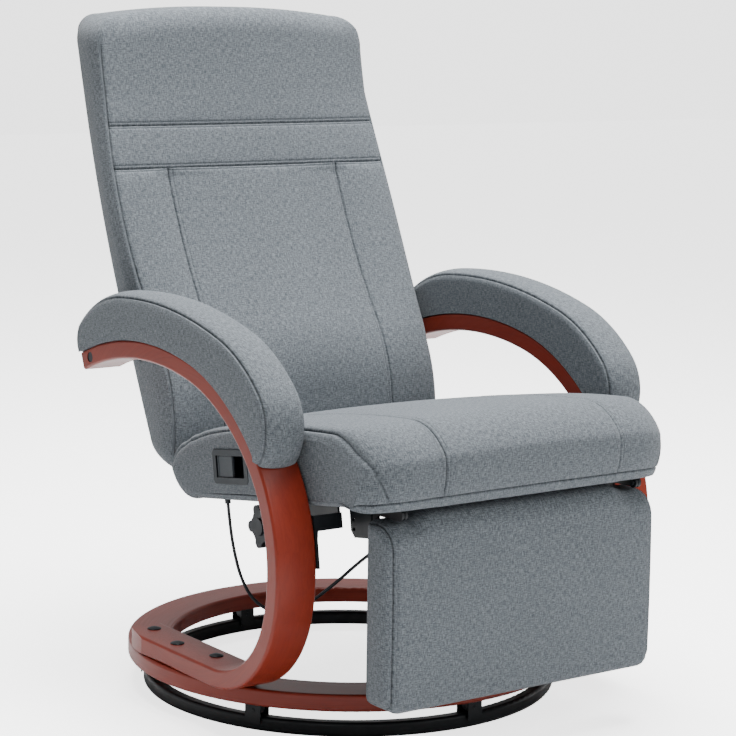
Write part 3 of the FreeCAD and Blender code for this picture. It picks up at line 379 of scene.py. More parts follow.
def clamp(value):
    return max(0.0, min(1.0, value))


def even(count):
    return [k / count for k in range(count + 1)]


def mirrored(left, right):
    return [-x for x in reversed(left[1:])] + right


def ripple(a, b, grain):
    return noise.noise(Vector((a * grain[0], b * grain[1], grain[2])))


def block(stations, columns, rows):
    # A cube cut into a grid; stations run along x, columns along y and rows along z.
    bm = bmesh.new()
    bmesh.ops.create_cube(bm, size=2.0)
    for axis, count in ((0, stations), (1, columns), (2, rows)):
        edges = [edge for edge in bm.edges if abs(edge.verts[0].co[axis] - edge.verts[1].co[axis]) > 1e-6]
        bmesh.ops.subdivide_edges(bm, edges=edges, cuts=count - 2, use_grid_fill=True)
    return bm


def gridPlace(vert, counts):
    return tuple(round((part + 1) / 2 * (count - 1)) for part, count in zip(vert.co, counts))


def spaced(start, end, step, marks=()):
    # Places from start to end, close together beside each mark.
    places = {start, end}
    for mark in marks:
        places.update(mark + side * gap for gap in besideSeam for side in (-1, 1)
                      if start < mark + side * gap < end)
    ordered = sorted(places)
    filled = [ordered[0]]
    for place in ordered[1:]:
        gap = place - filled[-1]
        if gap > step * meshRules["widestStep"]:
            parts = max(1, round(gap / step))
            begin = filled[-1]
            filled += [begin + gap * k / parts for k in range(1, parts)]
        if place - filled[-1] > meshRules["leastStep"]:
            filled.append(place)
        elif place in (start, end):
            filled[-1] = place
    return filled


def cornerInset(distance, radius):
    if distance >= radius:
        return 0.0
    return radius - sqrt(max(0.0, radius ** 2 - (radius - distance) ** 2))


def circleThrough(a, b, c):
    # Centre and radius of the circle through three points, or None when they lie on a line.
    (ax, ay), (bx, by), (cx, cy) = a, b, c
    d = 2 * (ax * (by - cy) + bx * (cy - ay) + cx * (ay - by))
    if abs(d) < 1e-6:
        return None
    sa, sb, sc = [x ** 2 + y ** 2 for x, y in (a, b, c)]
    ux = (sa * (by - cy) + sb * (cy - ay) + sc * (ay - by)) / d
    uy = (sa * (cx - bx) + sb * (ax - cx) + sc * (bx - ax)) / d
    return ux, uy, hypot(ax - ux, ay - uy)


def between(a, b, share):
    return tuple(p + (q - p) * share for p, q in zip(a, b))


def arcPoints(a, b, c, count):
    # Points along the arc through three points of a plane.
    circle = circleThrough(a, b, c)
    if circle is None:
        return [between(a, c, k / count) for k in range(count + 1)]
    ux, uy, radius = circle
    start, middle, end = [atan2(y - uy, x - ux) for x, y in (a, b, c)]
    middle = (middle - start) % tau
    sweep = (end - start) % tau
    if middle > sweep:
        sweep -= tau
    turns = [start + sweep * k / count for k in range(count + 1)]
    return [(ux + radius * cos(turn), uy + radius * sin(turn)) for turn in turns]


def chain(points, count=arcSteps):
    # One line through arcs given as start, middle, end, middle, end.
    line = [points[0]]
    for k in range(0, len(points) - 2, 2):
        line += arcPoints(points[k], points[k + 1], points[k + 2], count)[1:]
    return line


def outline(anchors, points):
    # A chain of arcs through points given as an anchor and an offset, along and up.
    return chain([(anchors[a] + along, anchors[b] + up) for a, along, b, up in points])


def alongLine(line, shares):
    # The points at given shares of a line's length.
    runs = [dist(a, b) for a, b in zip(line, line[1:])]
    total = sum(runs)
    result = []
    k, passed = 0, 0.0
    for share in shares:
        wanted = share * total
        while k < len(runs) - 1 and passed + runs[k] < wanted:
            passed += runs[k]
            k += 1
        part = 0.0 if runs[k] == 0 else min(1.0, (wanted - passed) / runs[k])
        result.append(between(line[k], line[k + 1], part))
    return result


def sideSkin(lines, j, k, shareJ, shareK):
    # A point of a side face, blended from its four border lines.
    front, top, rear, bottom = lines
    point = []
    for axis in (0, 1):
        across = (1 - shareJ) * front[k][axis] + shareJ * rear[k][axis]
        upright = (1 - shareK) * bottom[j][axis] + shareK * top[j][axis]
        low = (1 - shareJ) * front[0][axis] + shareJ * rear[0][axis]
        high = (1 - shareJ) * front[-1][axis] + shareJ * rear[-1][axis]
        point.append(across + upright - (1 - shareK) * low - shareK * high)
    return point


def wrapBlock(stations, columns, rows, borders, sideBulge):
    # A cut cube put on a form whose side outline is known at each station; borders(x) gives the
    # front, top, rear and bottom lines as lists of (y, z). Also gives every vertex's place in the grid.
    counts = (len(stations), len(columns), len(rows))
    lastJ, lastK = len(columns) - 1, len(rows) - 1
    bm = block(*counts)
    lines = [[alongLine(line, share) for line, share in zip(borders(x), (rows, columns, rows, columns))]
             for x in stations]
    places = {}
    for vert in bm.verts:
        i, j, k = gridPlace(vert, counts)
        front, top, rear, bottom = lines[i]
        x = stations[i]
        if j == 0:
            y, z = front[k]
        elif k == lastK:
            y, z = top[j]
        elif j == lastJ:
            y, z = rear[k]
        elif k == 0:
            y, z = bottom[j]
        else:
            shareJ, shareK = j / lastJ, k / lastK
            y, z = sideSkin(lines[i], j, k, shareJ, shareK)
            x += copysign(sideBulge * 16 * shareJ * (1 - shareJ) * shareK * (1 - shareK), x)
        places[vert] = (i, j, k)
        vert.co = (x, y, z)
    return bm, places


def sinkSeams(bm, depthOf):
    # Moves each vertex in along its normal by the depth of the seams near it.
    bm.normal_update()
    moves = [(vert, vert.normal * -depthOf(vert)) for vert in bm.verts]
    for vert, move in moves:
        vert.co += move


def seamDepth(distance, depth, width, fold=sewnDepths["fold"]):
    # a broad dip, with a narrow fold of the cloth in its middle
    narrow = max(0.0, 1 - abs(distance) / sewnDepths["foldHalf"])
    return depth * exp(-abs(distance) / width) + fold * narrow


def stitchDepth(distance, depth=sewnDepths["stitch"]):
    return depth * exp(-(distance / sewnDepths["stitchWidth"]) ** 2)


def layWeave(bm, run):
    # A weave map in metres: each side of the block is unrolled, across it and along its run.
    layer = bm.loops.layers.uv.new("weave")
    for face in bm.faces:
        for loop in face.loops:
            co = loop.vert.co
            onSide = abs(face.normal.x) > meshRules["sideFacing"]
            pair = (co.y, co.z) if onSide else (co.x, run(loop.vert))
            loop[layer].uv = [part * 0.001 for part in pair]


def toObject(bm, name, material, place=None):
    # Scales a form to metres, puts it in the chair's frame and makes it an object.
    if place:
        bmesh.ops.transform(bm, matrix=place, verts=bm.verts)
    bmesh.ops.scale(bm, vec=(0.001, 0.001, 0.001), verts=bm.verts)
    bmesh.ops.recalc_face_normals(bm, faces=bm.faces)
    mesh = bpy.data.meshes.new(name)
    bm.to_mesh(mesh)
    bm.free()
    for polygon in mesh.polygons:
        polygon.use_smooth = True
    mesh.set_sharp_from_angle(angle=radians(meshRules["sharpAngle"]))
    made = newObject(name, mesh)
    made.data.materials.append(material)
    return made


def cutAway(made, form, place=None):
    # Takes a form out of a piece, for good.
    cutter = toObject(form, "cutter", cloth, place)
    change = made.modifiers.new("cut", "BOOLEAN")
    change.operation = "DIFFERENCE"
    change.solver = "EXACT"
    change.object = cutter
    bpy.context.view_layer.update()
    result = bpy.data.meshes.new_from_object(made.evaluated_get(bpy.context.evaluated_depsgraph_get()))
    made.modifiers.clear()
    old = made.data
    made.data = result
    result.name = made.name
    bpy.data.meshes.remove(old)
    bpy.data.objects.remove(cutter)
    if not made.data.materials:
        made.data.materials.append(cloth)


def boxForm(x0, x1, y0, y1, z0, z1, edge=0.0):
    bm = bmesh.new()
    bmesh.ops.create_cube(bm, size=1.0)
    bmesh.ops.scale(bm, vec=(x1 - x0, y1 - y0, z1 - z0), verts=bm.verts)
    bmesh.ops.translate(bm, vec=((x0 + x1) / 2, (y0 + y1) / 2, (z0 + z1) / 2), verts=bm.verts)
    if edge:
        bmesh.ops.bevel(bm, geom=bm.edges[:], offset=edge, offset_type="OFFSET", affect="EDGES", segments=3,
                        profile=0.5, material=-1)
    return bm


def rodForm(radius, length, sides):
    bm = bmesh.new()
    bmesh.ops.create_cone(bm, cap_ends=True, segments=sides, radius1=radius, radius2=radius, depth=length)
    return bm


# Seat's own frame
seatFrame = {"tilt": 8.3, "reference": (-292.0, 356.0)}


def seatMatrix():
    y, z = seatFrame["reference"]
    turn = Matrix.Rotation(radians(-seatFrame["tilt"]), 4, "X")
    return Matrix.Translation((0, y, z)) @ turn @ Matrix.Translation((0, -y, 0))


# Seat cushion
seatCushion = {
    "halfWidth": 271.0, "height": 114.0, "rear": 101.0, "nose": -465.0, "crown": 10.0,
    "corner": 75.0, "cornerDepth": 0.85, "edgeRound": 16.0, "shoulder": 79.0, "foot": 22.0,
    "rearDraw": 1.5, "lowDraw": 0.6,       # shares of the edge's round taken at the rear and underneath
    "panelBack": 3.0, "panelSlope": 0.3,   # the nose's side panels lie behind its middle one
    "seam": 157.0, "seamShape": (3.4, 5.0), "topstitch": 5.5,
    "seamEnd": 26.0,       # column of the top where the long seams fade out
    "sideSeam": 5.0,       # how far in from the side the boxing seam runs along the top
    "sideSeamLow": 40.0,   # and how far in where it meets the front's lower seam
    "sideSeamHigh": 0.62, "sideSeamBend": 1.5,
    "boxingShape": (1.8, 2.4), "lowSeamShape": (1.8, 2.6),
    "lip": 7.0,            # how far the front's lower border hangs below the underside
    "lipTurn": 0.6,
    "lowSeam": 0.085,      # share of the nose's height where its lower seam runs
    "lowFade": 30.0,
    "noseRun": 220.0, "columns": 78, "fineColumns": [0.005, 0.009, 0.018, 0.022, 0.031],
    "fineCorner": (6.0, 7.0, 2.0), "sideBulge": 1.6, "cell": 6.0, "fill": 0.75,
    "runs": {"nose": 190.0, "top": 450.0, "rear": 160.0, "under": 470.0},
    # the side's outline, each point as anchor and offset along and anchor and offset up
    "front": [("foot", 0, "lip", 0), ("nose", 5, "top", -96), ("nose", 0, "top", -60),
              ("nose", 22, "top", -29), ("shoulder", 0, "top", -6)],
    "upper": [("shoulder", 0, "top", -6), ("flatNose", 235, "top", -1), ("flatRear", -161, "top", -7),
              ("rear", -90, "top", -16), ("rear", -40, "top", -30)],
    "back": [("rear", -77, "low", 0), ("rear", -22, "low", 12), ("rear", 0, "low", 42),
             ("rear", -8, "top", -52), ("rear", -40, "top", -30)],
    "lower": [("foot", 0, "lip", 0), ("foot", 8, "lipTurn", 0), ("foot", 15, "low", 0)],
    "recess": (-240.0, 240.0, -345.0, 72.0, -20.0, 38.0, 9.0),
    "paddleRoom": (-276.0, -246.7, -129.3, -43.2, 32.7, 69.3),
    "spoutRoom": {"radius": 4.8, "length": 90.0, "sides": 24}, "spoutUp": 42.0,
    "wrinkleFrom": -60.0, "wrinkleRun": 100.0, "wrinkleHeight": 1.8, "wrinkleGrain": (0.022, 0.05, 3.0),
}


def seatBorders(x):
    size = seatCushion
    inside = size["halfWidth"] - abs(x)
    edge = cornerInset(inside, size["edgeRound"])
    top = size["height"] + size["crown"] * (1 - (x / size["halfWidth"]) ** 2) - edge
    low = edge * size["lowDraw"]
    nose = size["nose"] + max(0.0, min(size["panelBack"], (abs(x) - size["seam"]) * size["panelSlope"]))
    nose += cornerInset(inside, size["corner"]) * size["cornerDepth"]
    anchors = {"nose": nose, "foot": nose + size["foot"], "shoulder": nose + size["shoulder"],
               "flatNose": size["nose"], "flatRear": size["rear"],
               "rear": size["rear"] - edge * size["rearDraw"],
               "top": top, "low": low, "lip": low - size["lip"],
               "lipTurn": low - size["lip"] * size["lipTurn"]}
    front, upper, back, lower = [outline(anchors, size[key]) for key in ("front", "upper", "back", "lower")]
    return front, upper, back, lower + [back[0]]


def seatStations():
    # Both halves are fine beside the seams and where the boxing seam wanders round the nose's corner.
    size = seatCushion
    wide = size["halfWidth"]
    before, after, step = size["fineCorner"]
    fine = spaced(wide - size["sideSeamLow"] - before, wide - after, step)
    halves = []
    for side in (-1, 1):
        marks = [size["seam"], size["seam"] + side * size["topstitch"], wide - size["sideSeam"]]
        half = spaced(0.0, wide, size["cell"], marks)
        halves.append(sorted([x for x in half if x < fine[0] - 1 or x > fine[-1] + 1] + fine))
    return mirrored(*halves)


def makeSeatCushion():
    size = seatCushion
    stations = seatStations()
    run = size["noseRun"]
    rows = [place / run for place in spaced(0.0, run, size["cell"], [run * size["lowSeam"]])]
    columns = sorted(even(size["columns"]) + size["fineColumns"])
    bm, places = wrapBlock(stations, columns, rows, seatBorders, size["sideBulge"])

    def depthOf(vert):
        i, j, k = places[vert]
        x = abs(stations[i])
        depth = 0.0
        onSkin = j == 0 or k == len(rows) - 1 or j == len(columns) - 1
        if onSkin and k > 0:
            fade = 1.0 if j == 0 else max(0.0, 1 - j / size["seamEnd"])
            low = clamp((rows[k] - size["lowSeam"]) * size["lowFade"]) if j == 0 else 1.0
            depth += seamDepth(x - size["seam"], *size["seamShape"]) * fade * low
            stitch = size["seam"] + copysign(size["topstitch"], stations[i] or -1)
            depth += stitchDepth(x - stitch) * fade * low
            wander = 0.0
            if j == 0:
                rise = max(0.0, 1 - rows[k] / size["sideSeamHigh"]) ** size["sideSeamBend"]
                wander = (size["sideSeamLow"] - size["sideSeam"]) * rise
            boxing = x - (size["halfWidth"] - size["sideSeam"] - wander)
            depth += seamDepth(boxing, *size["boxingShape"]) * low
        if j == 0 or i in (0, len(stations) - 1):
            depth += seamDepth((rows[k] - size["lowSeam"]) * run, *size["lowSeamShape"])
        return depth

    sinkSeams(bm, depthOf)
    wrinkleSeat(bm, places, len(rows))
    layWeave(bm, lambda v: roundRun(v, places, rows, columns))
    seat = toObject(bm, "seatCushion", cloth, seatMatrix())
    cutAway(seat, boxForm(*size["recess"]), seatMatrix())
    cutAway(seat, boxForm(*size["paddleRoom"]), seatMatrix())
    start, following = [Vector(point) * 1000 for point in releaseCable["route"][:2]]
    upward = (start - following).normalized()
    turn = upward.to_track_quat("Z", "Y").to_matrix().to_4x4()
    cutAway(seat, rodForm(**size["spoutRoom"]), Matrix.Translation(start + upward * size["spoutUp"]) @ turn)
    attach(seat, "seat")
    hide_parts("seat_cushion")
    return seat


def roundRun(vert, places, rows, columns):
    # How far round the outline a vertex lies, so that the weave isn't stretched.
    j, k = places[vert][1:]
    runs = seatCushion["runs"]
    if j == 0:
        return rows[k] * runs["nose"]
    if k == len(rows) - 1:
        return runs["nose"] + columns[j] * runs["top"]
    if j == len(columns) - 1:
        return runs["nose"] + runs["top"] + (1 - rows[k]) * runs["rear"]
    return -columns[j] * runs["under"]


def wrinkleSeat(bm, places, rowCount):
    # Soft folds where the back presses on the seat.
    size = seatCushion
    for vert in bm.verts:
        co = vert.co
        reach = clamp((co.y - size["wrinkleFrom"]) / size["wrinkleRun"])
        if places[vert][2] == rowCount - 1 and reach > 0:
            co.z += reach * size["wrinkleHeight"] * ripple(co.x, co.y, size["wrinkleGrain"])


seatPiece = makeSeatCushion()
print("seat cushion made:", len(seatPiece.data.polygons), "faces")


# Back cushion
backCushion = {
    "halfWidth": 252.0, "bottom": 331.0, "top": 1041.0, "arch": 13.0, "corner": 47.0,
    "frontLow": (111.0, 385.0), "footSlope": 0.05, "lumbarRadius": 255.1, "lumbarTurn": 35.6,
    "upperRadius": 1045.9, "rearPoints": [(197.0, 353.0), (378.0, 775.0), (436.0, 969.0)],
    "crown": 13.0, "lowCrown": 2.0, "crownStart": 430.0, "crownFade": 110.0,
    "valley": 2.4, "valleyShare": 0.62, "panelCrown": 1.4, "panelFade": 14.0,
    "sideBulge": 5.0, "rearDraw": 11.0, "drawFrom": 0.3, "sideFrom": 220.0,
    "endRound": 38.0, "endFront": 0.75, "endRear": 0.55, "footDraw": 0.8, "footCrown": 0.6,
    "barrel": (500.0, 900.0), "barrelWidth": 11.0, "barrelFront": 10.0,
    "seams": (788.0, 854.0), "seamDepth": 2.6, "seamWidth": 8.0, "topstitch": 4.6,
    "pucker": 0.3, "puckerGrain": (0.045, 0.02, 7.0),
    "uprightSeam": 161.0, "uprightShape": (1.2, 6.0), "uprightStitch": 6.5,
    "sideSeam": (0.8, 4.0, 2.0), "sideRun": 90.0, "sideFade": 40.0,
    "edgeRound": 9.0, "pocketHalfWidth": 214.0, "pocketDepth": 36.0, "pocketTop": 955.0, "pocketEdge": 1.2,
    "archFrom": 960.0,     # heights above this one follow the arched top
    "depths": [0.0, 0.018, 0.04, 0.07, 0.1], "middleDepths": 12,
    "cornerTurns": (8, 91, 8), "endTurns": (0, 91, 9),     # degrees at which the rounds are cut
    "boltRoom": {"radius": 12.5, "length": 80.0, "sides": 32}, "boltPlace": (240.0, 215.0, 506.0),
    "bracketRoom": (205.0, 215.0, 199.0, 236.0, 478.0, 534.0),
    "cell": 6.0, "fill": 0.8,
}
rearCircle = circleThrough(*backCushion["rearPoints"])


def rearLine(z, inset=0.0):
    radius = rearCircle[2] - inset
    return rearCircle[0] + sqrt(radius ** 2 - (z - rearCircle[1]) ** 2)


def frontLine(z):
    size = backCushion
    y0, z0 = size["frontLow"]
    if z < z0:
        return y0 + (z0 - z) * size["footSlope"]
    turn = radians(size["lumbarTurn"])
    join = z0 + size["lumbarRadius"] * sin(turn)
    if z < join:
        return y0 + size["lumbarRadius"] - sqrt(size["lumbarRadius"] ** 2 - (z - z0) ** 2)
    joinY = y0 + size["lumbarRadius"] * (1 - cos(turn))
    centreY = joinY - size["upperRadius"] * cos(turn)
    centreZ = join + size["upperRadius"] * sin(turn)
    return centreY + sqrt(size["upperRadius"] ** 2 - (z - centreZ) ** 2)


def backTopAt(x):
    # the height of the arched top, which ends in rounded corners
    size = backCushion
    flat = size["halfWidth"] - size["corner"]
    if abs(x) <= flat:
        return size["top"] - size["arch"] * (x / flat) ** 2
    drop = size["corner"] - sqrt(max(0.0, size["corner"] ** 2 - (abs(x) - flat) ** 2))
    return size["top"] - size["arch"] - drop


def backBarrel(z):
    low, high = backCushion["barrel"]
    return sin(pi * clamp((z - low) / (high - low)))


def backFace(x, z):
    # how far the front lies behind the front line: a single crown above the seams, three panels below
    size = backCushion
    rise = clamp((z - size["crownStart"]) / size["crownFade"])
    crown = size["lowCrown"] + (size["crown"] - size["lowCrown"]) * rise
    edge = -size["barrelFront"] * backBarrel(z)
    share = min(1.0, abs(x) / size["halfWidth"])
    single = edge * share ** 2 - crown * (1 - share ** 2)
    seam = size["uprightSeam"]
    valley = size["valley"] * rise - crown * size["valleyShare"]
    if abs(x) < seam:
        panels = valley + (-crown - valley) * (1 - (x / seam) ** 2)
    else:
        part = (abs(x) - seam) / (size["halfWidth"] - seam)
        panels = valley + (edge - valley) * part - crown * size["panelCrown"] * part * (1 - part)
    below = clamp((size["seams"][0] - z) / size["panelFade"])
    return single + (panels - single) * below


def roundedEdge(reach, onFace):
    # how far a point of the face or of the side draws in where the two meet in a round
    radius = backCushion["edgeRound"]
    if reach >= radius:
        return 0.0, 0.0
    turn = pi / 4 * (1 - reach / radius)
    along, inward = radius * (1 - sin(turn)) - reach, radius * (1 - cos(turn))
    return (along, inward) if onFace else (inward, along)


def backPoint(station, level, depth, place, last):
    # a grid point's place, from its station across, its level and its share of the depth
    size = backCushion
    z = level
    if z > size["archFrom"]:
        share = (z - size["archFrom"]) / (size["top"] - size["archFrom"])
        z = size["archFrom"] + share * (backTopAt(station) - size["archFrom"])
    x, wide = abs(station), size["halfWidth"]
    gap = wide - x
    flat = wide - size["corner"]
    foot = cornerInset(level - size["bottom"], size["endRound"])
    footShare = foot / size["endRound"]
    turned = min(1.0, gap / size["corner"])
    end = max(foot, cornerInset(backTopAt(station) - z, size["endRound"]) * turned)
    front = frontLine(z) + end * size["endFront"] + backFace(station, z) * (1 - size["footCrown"] * footShare)
    rear = rearLine(z) - end * size["endRear"]
    if x < size["pocketHalfWidth"] and level < size["pocketTop"]:
        rear = rearLine(z, size["pocketDepth"])
    faceHalf = wide - foot * size["footDraw"] + size["barrelWidth"] * backBarrel(z)
    rearHalf = wide - foot * size["footDraw"] - size["rearDraw"]
    bulge = 4 * depth * (1 - depth) * size["sideBulge"] * (1 - footShare)
    drawn = max(0.0, depth - size["drawFrom"]) / (1 - size["drawFrom"])
    half = faceHalf + (rearHalf - faceHalf) * drawn + bulge
    y = front + (rear - front) * depth
    onCorner = place[2] == last[2] and x > flat
    side = size["sideFrom"]
    if x > side:
        x = side + (x - side) * (half - side) / (wide - side)
    onFace = place[1] in (0, last[1])
    if onFace or onCorner or place[0] in (0, last[0]):
        nearFront = depth < 0.5
        deep = (depth if nearFront else 1 - depth) * (rear - front)
        inX, inY = roundedEdge(gap if onFace else deep, onFace)
        if onCorner and not onFace:
            share = (abs(station) - flat) / size["corner"]
            inX, inY = inX * share, inY * share
        x -= inX
        y += inY if nearFront else -inY
    return copysign(x, station), y, z


def makeBackCushion():
    size = backCushion
    wide, pocket = size["halfWidth"], size["pocketHalfWidth"]
    flat = wide - size["corner"]
    half = spaced(0.0, flat, size["cell"], [size["uprightSeam"], size["uprightSeam"] - size["uprightStitch"]])
    corner = [flat + size["corner"] * sin(radians(turn)) for turn in range(*size["cornerTurns"])]
    half += sorted(corner + [wide, pocket, pocket - size["pocketEdge"]])
    across = mirrored(half, half)
    low, high = size["bottom"], size["top"]
    ends = [size["endRound"] * (1 - cos(radians(turn))) for turn in range(*size["endTurns"])]
    stitches = [mark + side * size["topstitch"] for mark in size["seams"] for side in (-1, 1)]
    middle = spaced(low + size["endRound"], high - size["endRound"], size["cell"],
                    list(size["seams"]) + stitches + [size["pocketTop"]])
    levels = [low + step for step in ends[:-1]] + middle + [high - step for step in reversed(ends[:-1])]
    near, count = size["depths"], size["middleDepths"]
    inside = [near[-1] + (1 - 2 * near[-1]) * k / count for k in range(1, count)]
    depths = near + inside + [1 - share for share in reversed(near)]
    counts = (len(across), len(depths), len(levels))
    last = [count - 1 for count in counts]
    bm = block(*counts)
    places = {}
    for vert in bm.verts:
        place = gridPlace(vert, counts)
        places[vert] = place
        vert.co = backPoint(across[place[0]], levels[place[2]], depths[place[1]], place, last)

    def depthOf(vert):
        i, j, k = places[vert]
        x, z = across[i], levels[k]
        depth = 0.0
        fade = clamp((size["top"] - z) / size["sideFade"])
        if j == 0 and 0 < k < last[2]:
            pucker = 1 + size["pucker"] * ripple(x, z, size["puckerGrain"])
            for mark in size["seams"]:
                depth += seamDepth(z - mark, size["seamDepth"] * pucker, size["seamWidth"])
                for side in (-1, 1):
                    depth += stitchDepth(z - mark - side * size["topstitch"])
            if z < size["seams"][0]:
                depth += seamDepth(abs(x) - size["uprightSeam"], *size["uprightShape"])
                depth += stitchDepth(abs(x) - size["uprightSeam"] + size["uprightStitch"])
        if i in (0, last[0]):
            depth += seamDepth(min(depths[j], 1 - depths[j]) * size["sideRun"], *size["sideSeam"]) * fade
        elif j in (0, last[1]):
            depth += seamDepth(wide - abs(x), *size["sideSeam"]) * fade
        return depth

    sinkSeams(bm, depthOf)
    layWeave(bm, lambda v: v.co.z if places[v][1] in (0, last[1]) else v.co.y)
    back = toObject(bm, "backCushion", cloth)
    turn = Matrix.Rotation(pi / 2, 4, "Y")
    for side in (-1, 1):
        x, y, z = size["boltPlace"]
        cutAway(back, rodForm(**size["boltRoom"]), Matrix.Translation((side * x, y, z)) @ turn)
        inner, outer, *others = size["bracketRoom"]
        cutAway(back, boxForm(*sorted((side * inner, side * outer)), *others))
    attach(back, "back")
    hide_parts("back_cushion")
    return back


backPiece = makeBackCushion()
print("back cushion made:", len(backPiece.data.polygons), "faces")


# Lining behind the back
rearLining = {
    "halfWidth": 213.5, "low": 376.0, "high": 954.5, "thick": 2.4, "puff": 2.0, "puffShare": 0.6,
    "sag": 0.6, "sagGrain": (3, 4, 1.5), "inset": 0.6, "cells": (44, 56), "fill": 0.3,
}


def makeRearLining():
    size = rearLining
    bm = bmesh.new()
    bmesh.ops.create_grid(bm, x_segments=size["cells"][0], y_segments=size["cells"][1], size=1.0)
    for vert in bm.verts:
        s, t = vert.co.x, vert.co.y
        z = size["low"] + (t + 1) / 2 * (size["high"] - size["low"])
        puff = size["puff"] * (1 - s ** 6) * (1 - t ** 6)
        sag = size["sag"] * ripple(s, t, size["sagGrain"])
        y = rearLine(z, size["inset"]) + (puff + sag) * (1 - abs(s) ** 8) * size["puffShare"]
        vert.co = (s * size["halfWidth"], y, z)
    bmesh.ops.recalc_face_normals(bm, faces=bm.faces)
    bm.normal_update()
    inward = -1 if sum(face.normal.y for face in bm.faces) > 0 else 1
    bmesh.ops.solidify(bm, geom=bm.faces[:], thickness=size["thick"] * -inward)
    layWeave(bm, lambda v: v.co.z)
    lining = toObject(bm, "rearLining", rearCloth)
    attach(lining, "back")
    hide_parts("back_panel")


makeRearLining()


# Arm pads
armPad = {
    "inner": 274.5, "outer": 345.0, "crown": 7.0, "edgeRound": 11.0, "edgeShare": 0.62,
    "start": (-268.6, 416.5), "heading": 46.0,
    "bends": [(63.0, 64.1), (74.9, 134.2), (247.8, 163.4), (743.7, 185.6), (207.6, 223.8)],
    "armStart": (-141.0, 71.0), "armBends": [(172.0, 74.8), (256.0, 132.0), (326.0, 167.4), (545.0, 202.0)],
    "topSteps": 16, "armSteps": 24,
    "padFrom": 60,         # point of the strip's line from which the pad always lies on it
    "clear": 0.3, "tip": (0.4, 1.0), "rearBulge": (9.0, 0.5),
    "sideSeam": 3.0, "seamShape": (1.3, 1.8),
    "outerSwell": 1.6, "innerSwell": 0.2, "swellShare": 1.5,
    "columns": 120, "rows": 14, "run": 640.0, "cell": 4.5, "fill": 0.85,
}


def bendChain(point, heading, bends):
    # the middle and end points of bends that follow each other, after their start
    points = [point]
    for radius, stop in bends:
        a = radians(heading)
        for b in (radians((heading + stop) / 2), radians(stop)):
            points.append((point[0] - radius * (sin(b) - sin(a)),
                           point[1] + radius * (cos(a) - cos(b))))
        point, heading = points[-1], stop
    return points


def padBorders(x):
    size = armPad
    inner, outer = size["inner"], size["outer"]
    inside = min(abs(x) - inner, outer - abs(x))
    share = 2 * inside / (outer - inner)
    inset = cornerInset(inside, size["edgeRound"]) * size["edgeShare"]
    inset -= size["crown"] * (1 - (1 - share) ** 2)
    rise = radians(size["heading"])
    start = (size["start"][0] + inset * sin(rise), size["start"][1] + inset * cos(rise))
    bends = [(radius - inset, stop) for radius, stop in size["bends"]]
    top = chain(bendChain(start, size["heading"], bends), size["topSteps"])
    y, z = size["armStart"]
    bends = [(radius + size["clear"], stop) for radius, stop in size["armBends"]]
    strip = chain(bendChain((y, z - size["clear"]), 0.0, bends), size["armSteps"])
    low = [point for k, point in enumerate(strip)
           if k > size["armSteps"] and point[1] > start[1] + size["tip"][1] or k > size["padFrom"]]
    low = [(low[0][0] - size["tip"][0], start[1])] + low
    bulge, share = size["rearBulge"]
    rearMiddle = (low[-1][0] + bulge - inset * share, (low[-1][1] + top[-1][1]) / 2)
    # the front line is the pad's short tip, from the strip to the start of the top
    return [low[0], start], top, arcPoints(low[-1], rearMiddle, top[-1], arcSteps), low


def makeArmPad(side, name, node):
    size = armPad
    inner, outer = size["inner"], size["outer"]
    stations = spaced(inner, outer, size["cell"], [inner + size["sideSeam"], outer - size["sideSeam"]])
    stations = [-x for x in reversed(stations)]
    columns, rows = even(size["columns"]), even(size["rows"])
    bm, places = wrapBlock(stations, columns, rows, padBorders, 0.0)

    def depthOf(vert):
        i, j, k = places[vert]
        x = -stations[i]
        depth = 0.0
        if k == size["rows"] or j in (0, size["columns"]):
            depth += seamDepth(outer - size["sideSeam"] - x, *size["seamShape"])
            depth += seamDepth(x - inner - size["sideSeam"], *size["seamShape"])
        if i in (0, len(stations) - 1):
            swell = 16 * columns[j] * (1 - columns[j]) * rows[k] * (1 - rows[k])
            depth -= size["innerSwell" if i else "outerSwell"] * min(1.0, swell * size["swellShare"])
        return depth

    sinkSeams(bm, depthOf)
    layWeave(bm, lambda v: columns[places[v][1]] * size["run"])
    if side > 0:
        bmesh.ops.scale(bm, vec=(-1, 1, 1), verts=bm.verts)
    pad = toObject(bm, name, cloth)
    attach(pad, "swivel")
    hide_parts(node)


makeArmPad(-1, "armPadRight", "arm_pad_right")
makeArmPad(1, "armPadLeft", "arm_pad_left")
print("lining and arm pads made")


# Footrest panel
footrestPanel = {
    "halfWidth": 240.0, "rear": -376.0, "front": -441.0, "top": 350.0, "bottom": 85.0, "crown": 7.0,
    "flatCrown": 1.0, "sideRound": 22.0, "sideShare": 0.6, "rearRound": 17.0, "corner": 24.0,
    "topCorner": 0.4, "noseRound": 34.0, "noseGap": 9.0, "noseShare": 0.32,
    "rise": 14.0, "riseEdge": 198.0, "riseRun": 40.0,
    # points of the side's outline, each as anchor and offset along and anchor and offset up
    "face": [("front", 12, "low", 0), ("front", 3, "low", 4), ("front", 0, "low", 14),
             ("crown", 0, "middle", 0), ("front", 0, "noseLow", 0), ("noseTurn", 0, "high", -10),
             ("nose", 0, "high", 0)],
    "heel": [("rear", -6, "low", 0), ("rear", -1.8, "low", 1.8), ("rear", 0, "low", 6)],
    "head": [("rear", 0, "high", -6), ("rear", -1.8, "high", -1.8), ("rear", -6, "high", 0)],
    "sideSeam": 7.0, "seamShape": (1.8, 2.4), "topstitch": 6.0, "stitchDepth": 0.7,
    "sideBulge": 2.5, "rows": 62, "columns": 12, "cell": 6.0, "fill": 0.7,
}


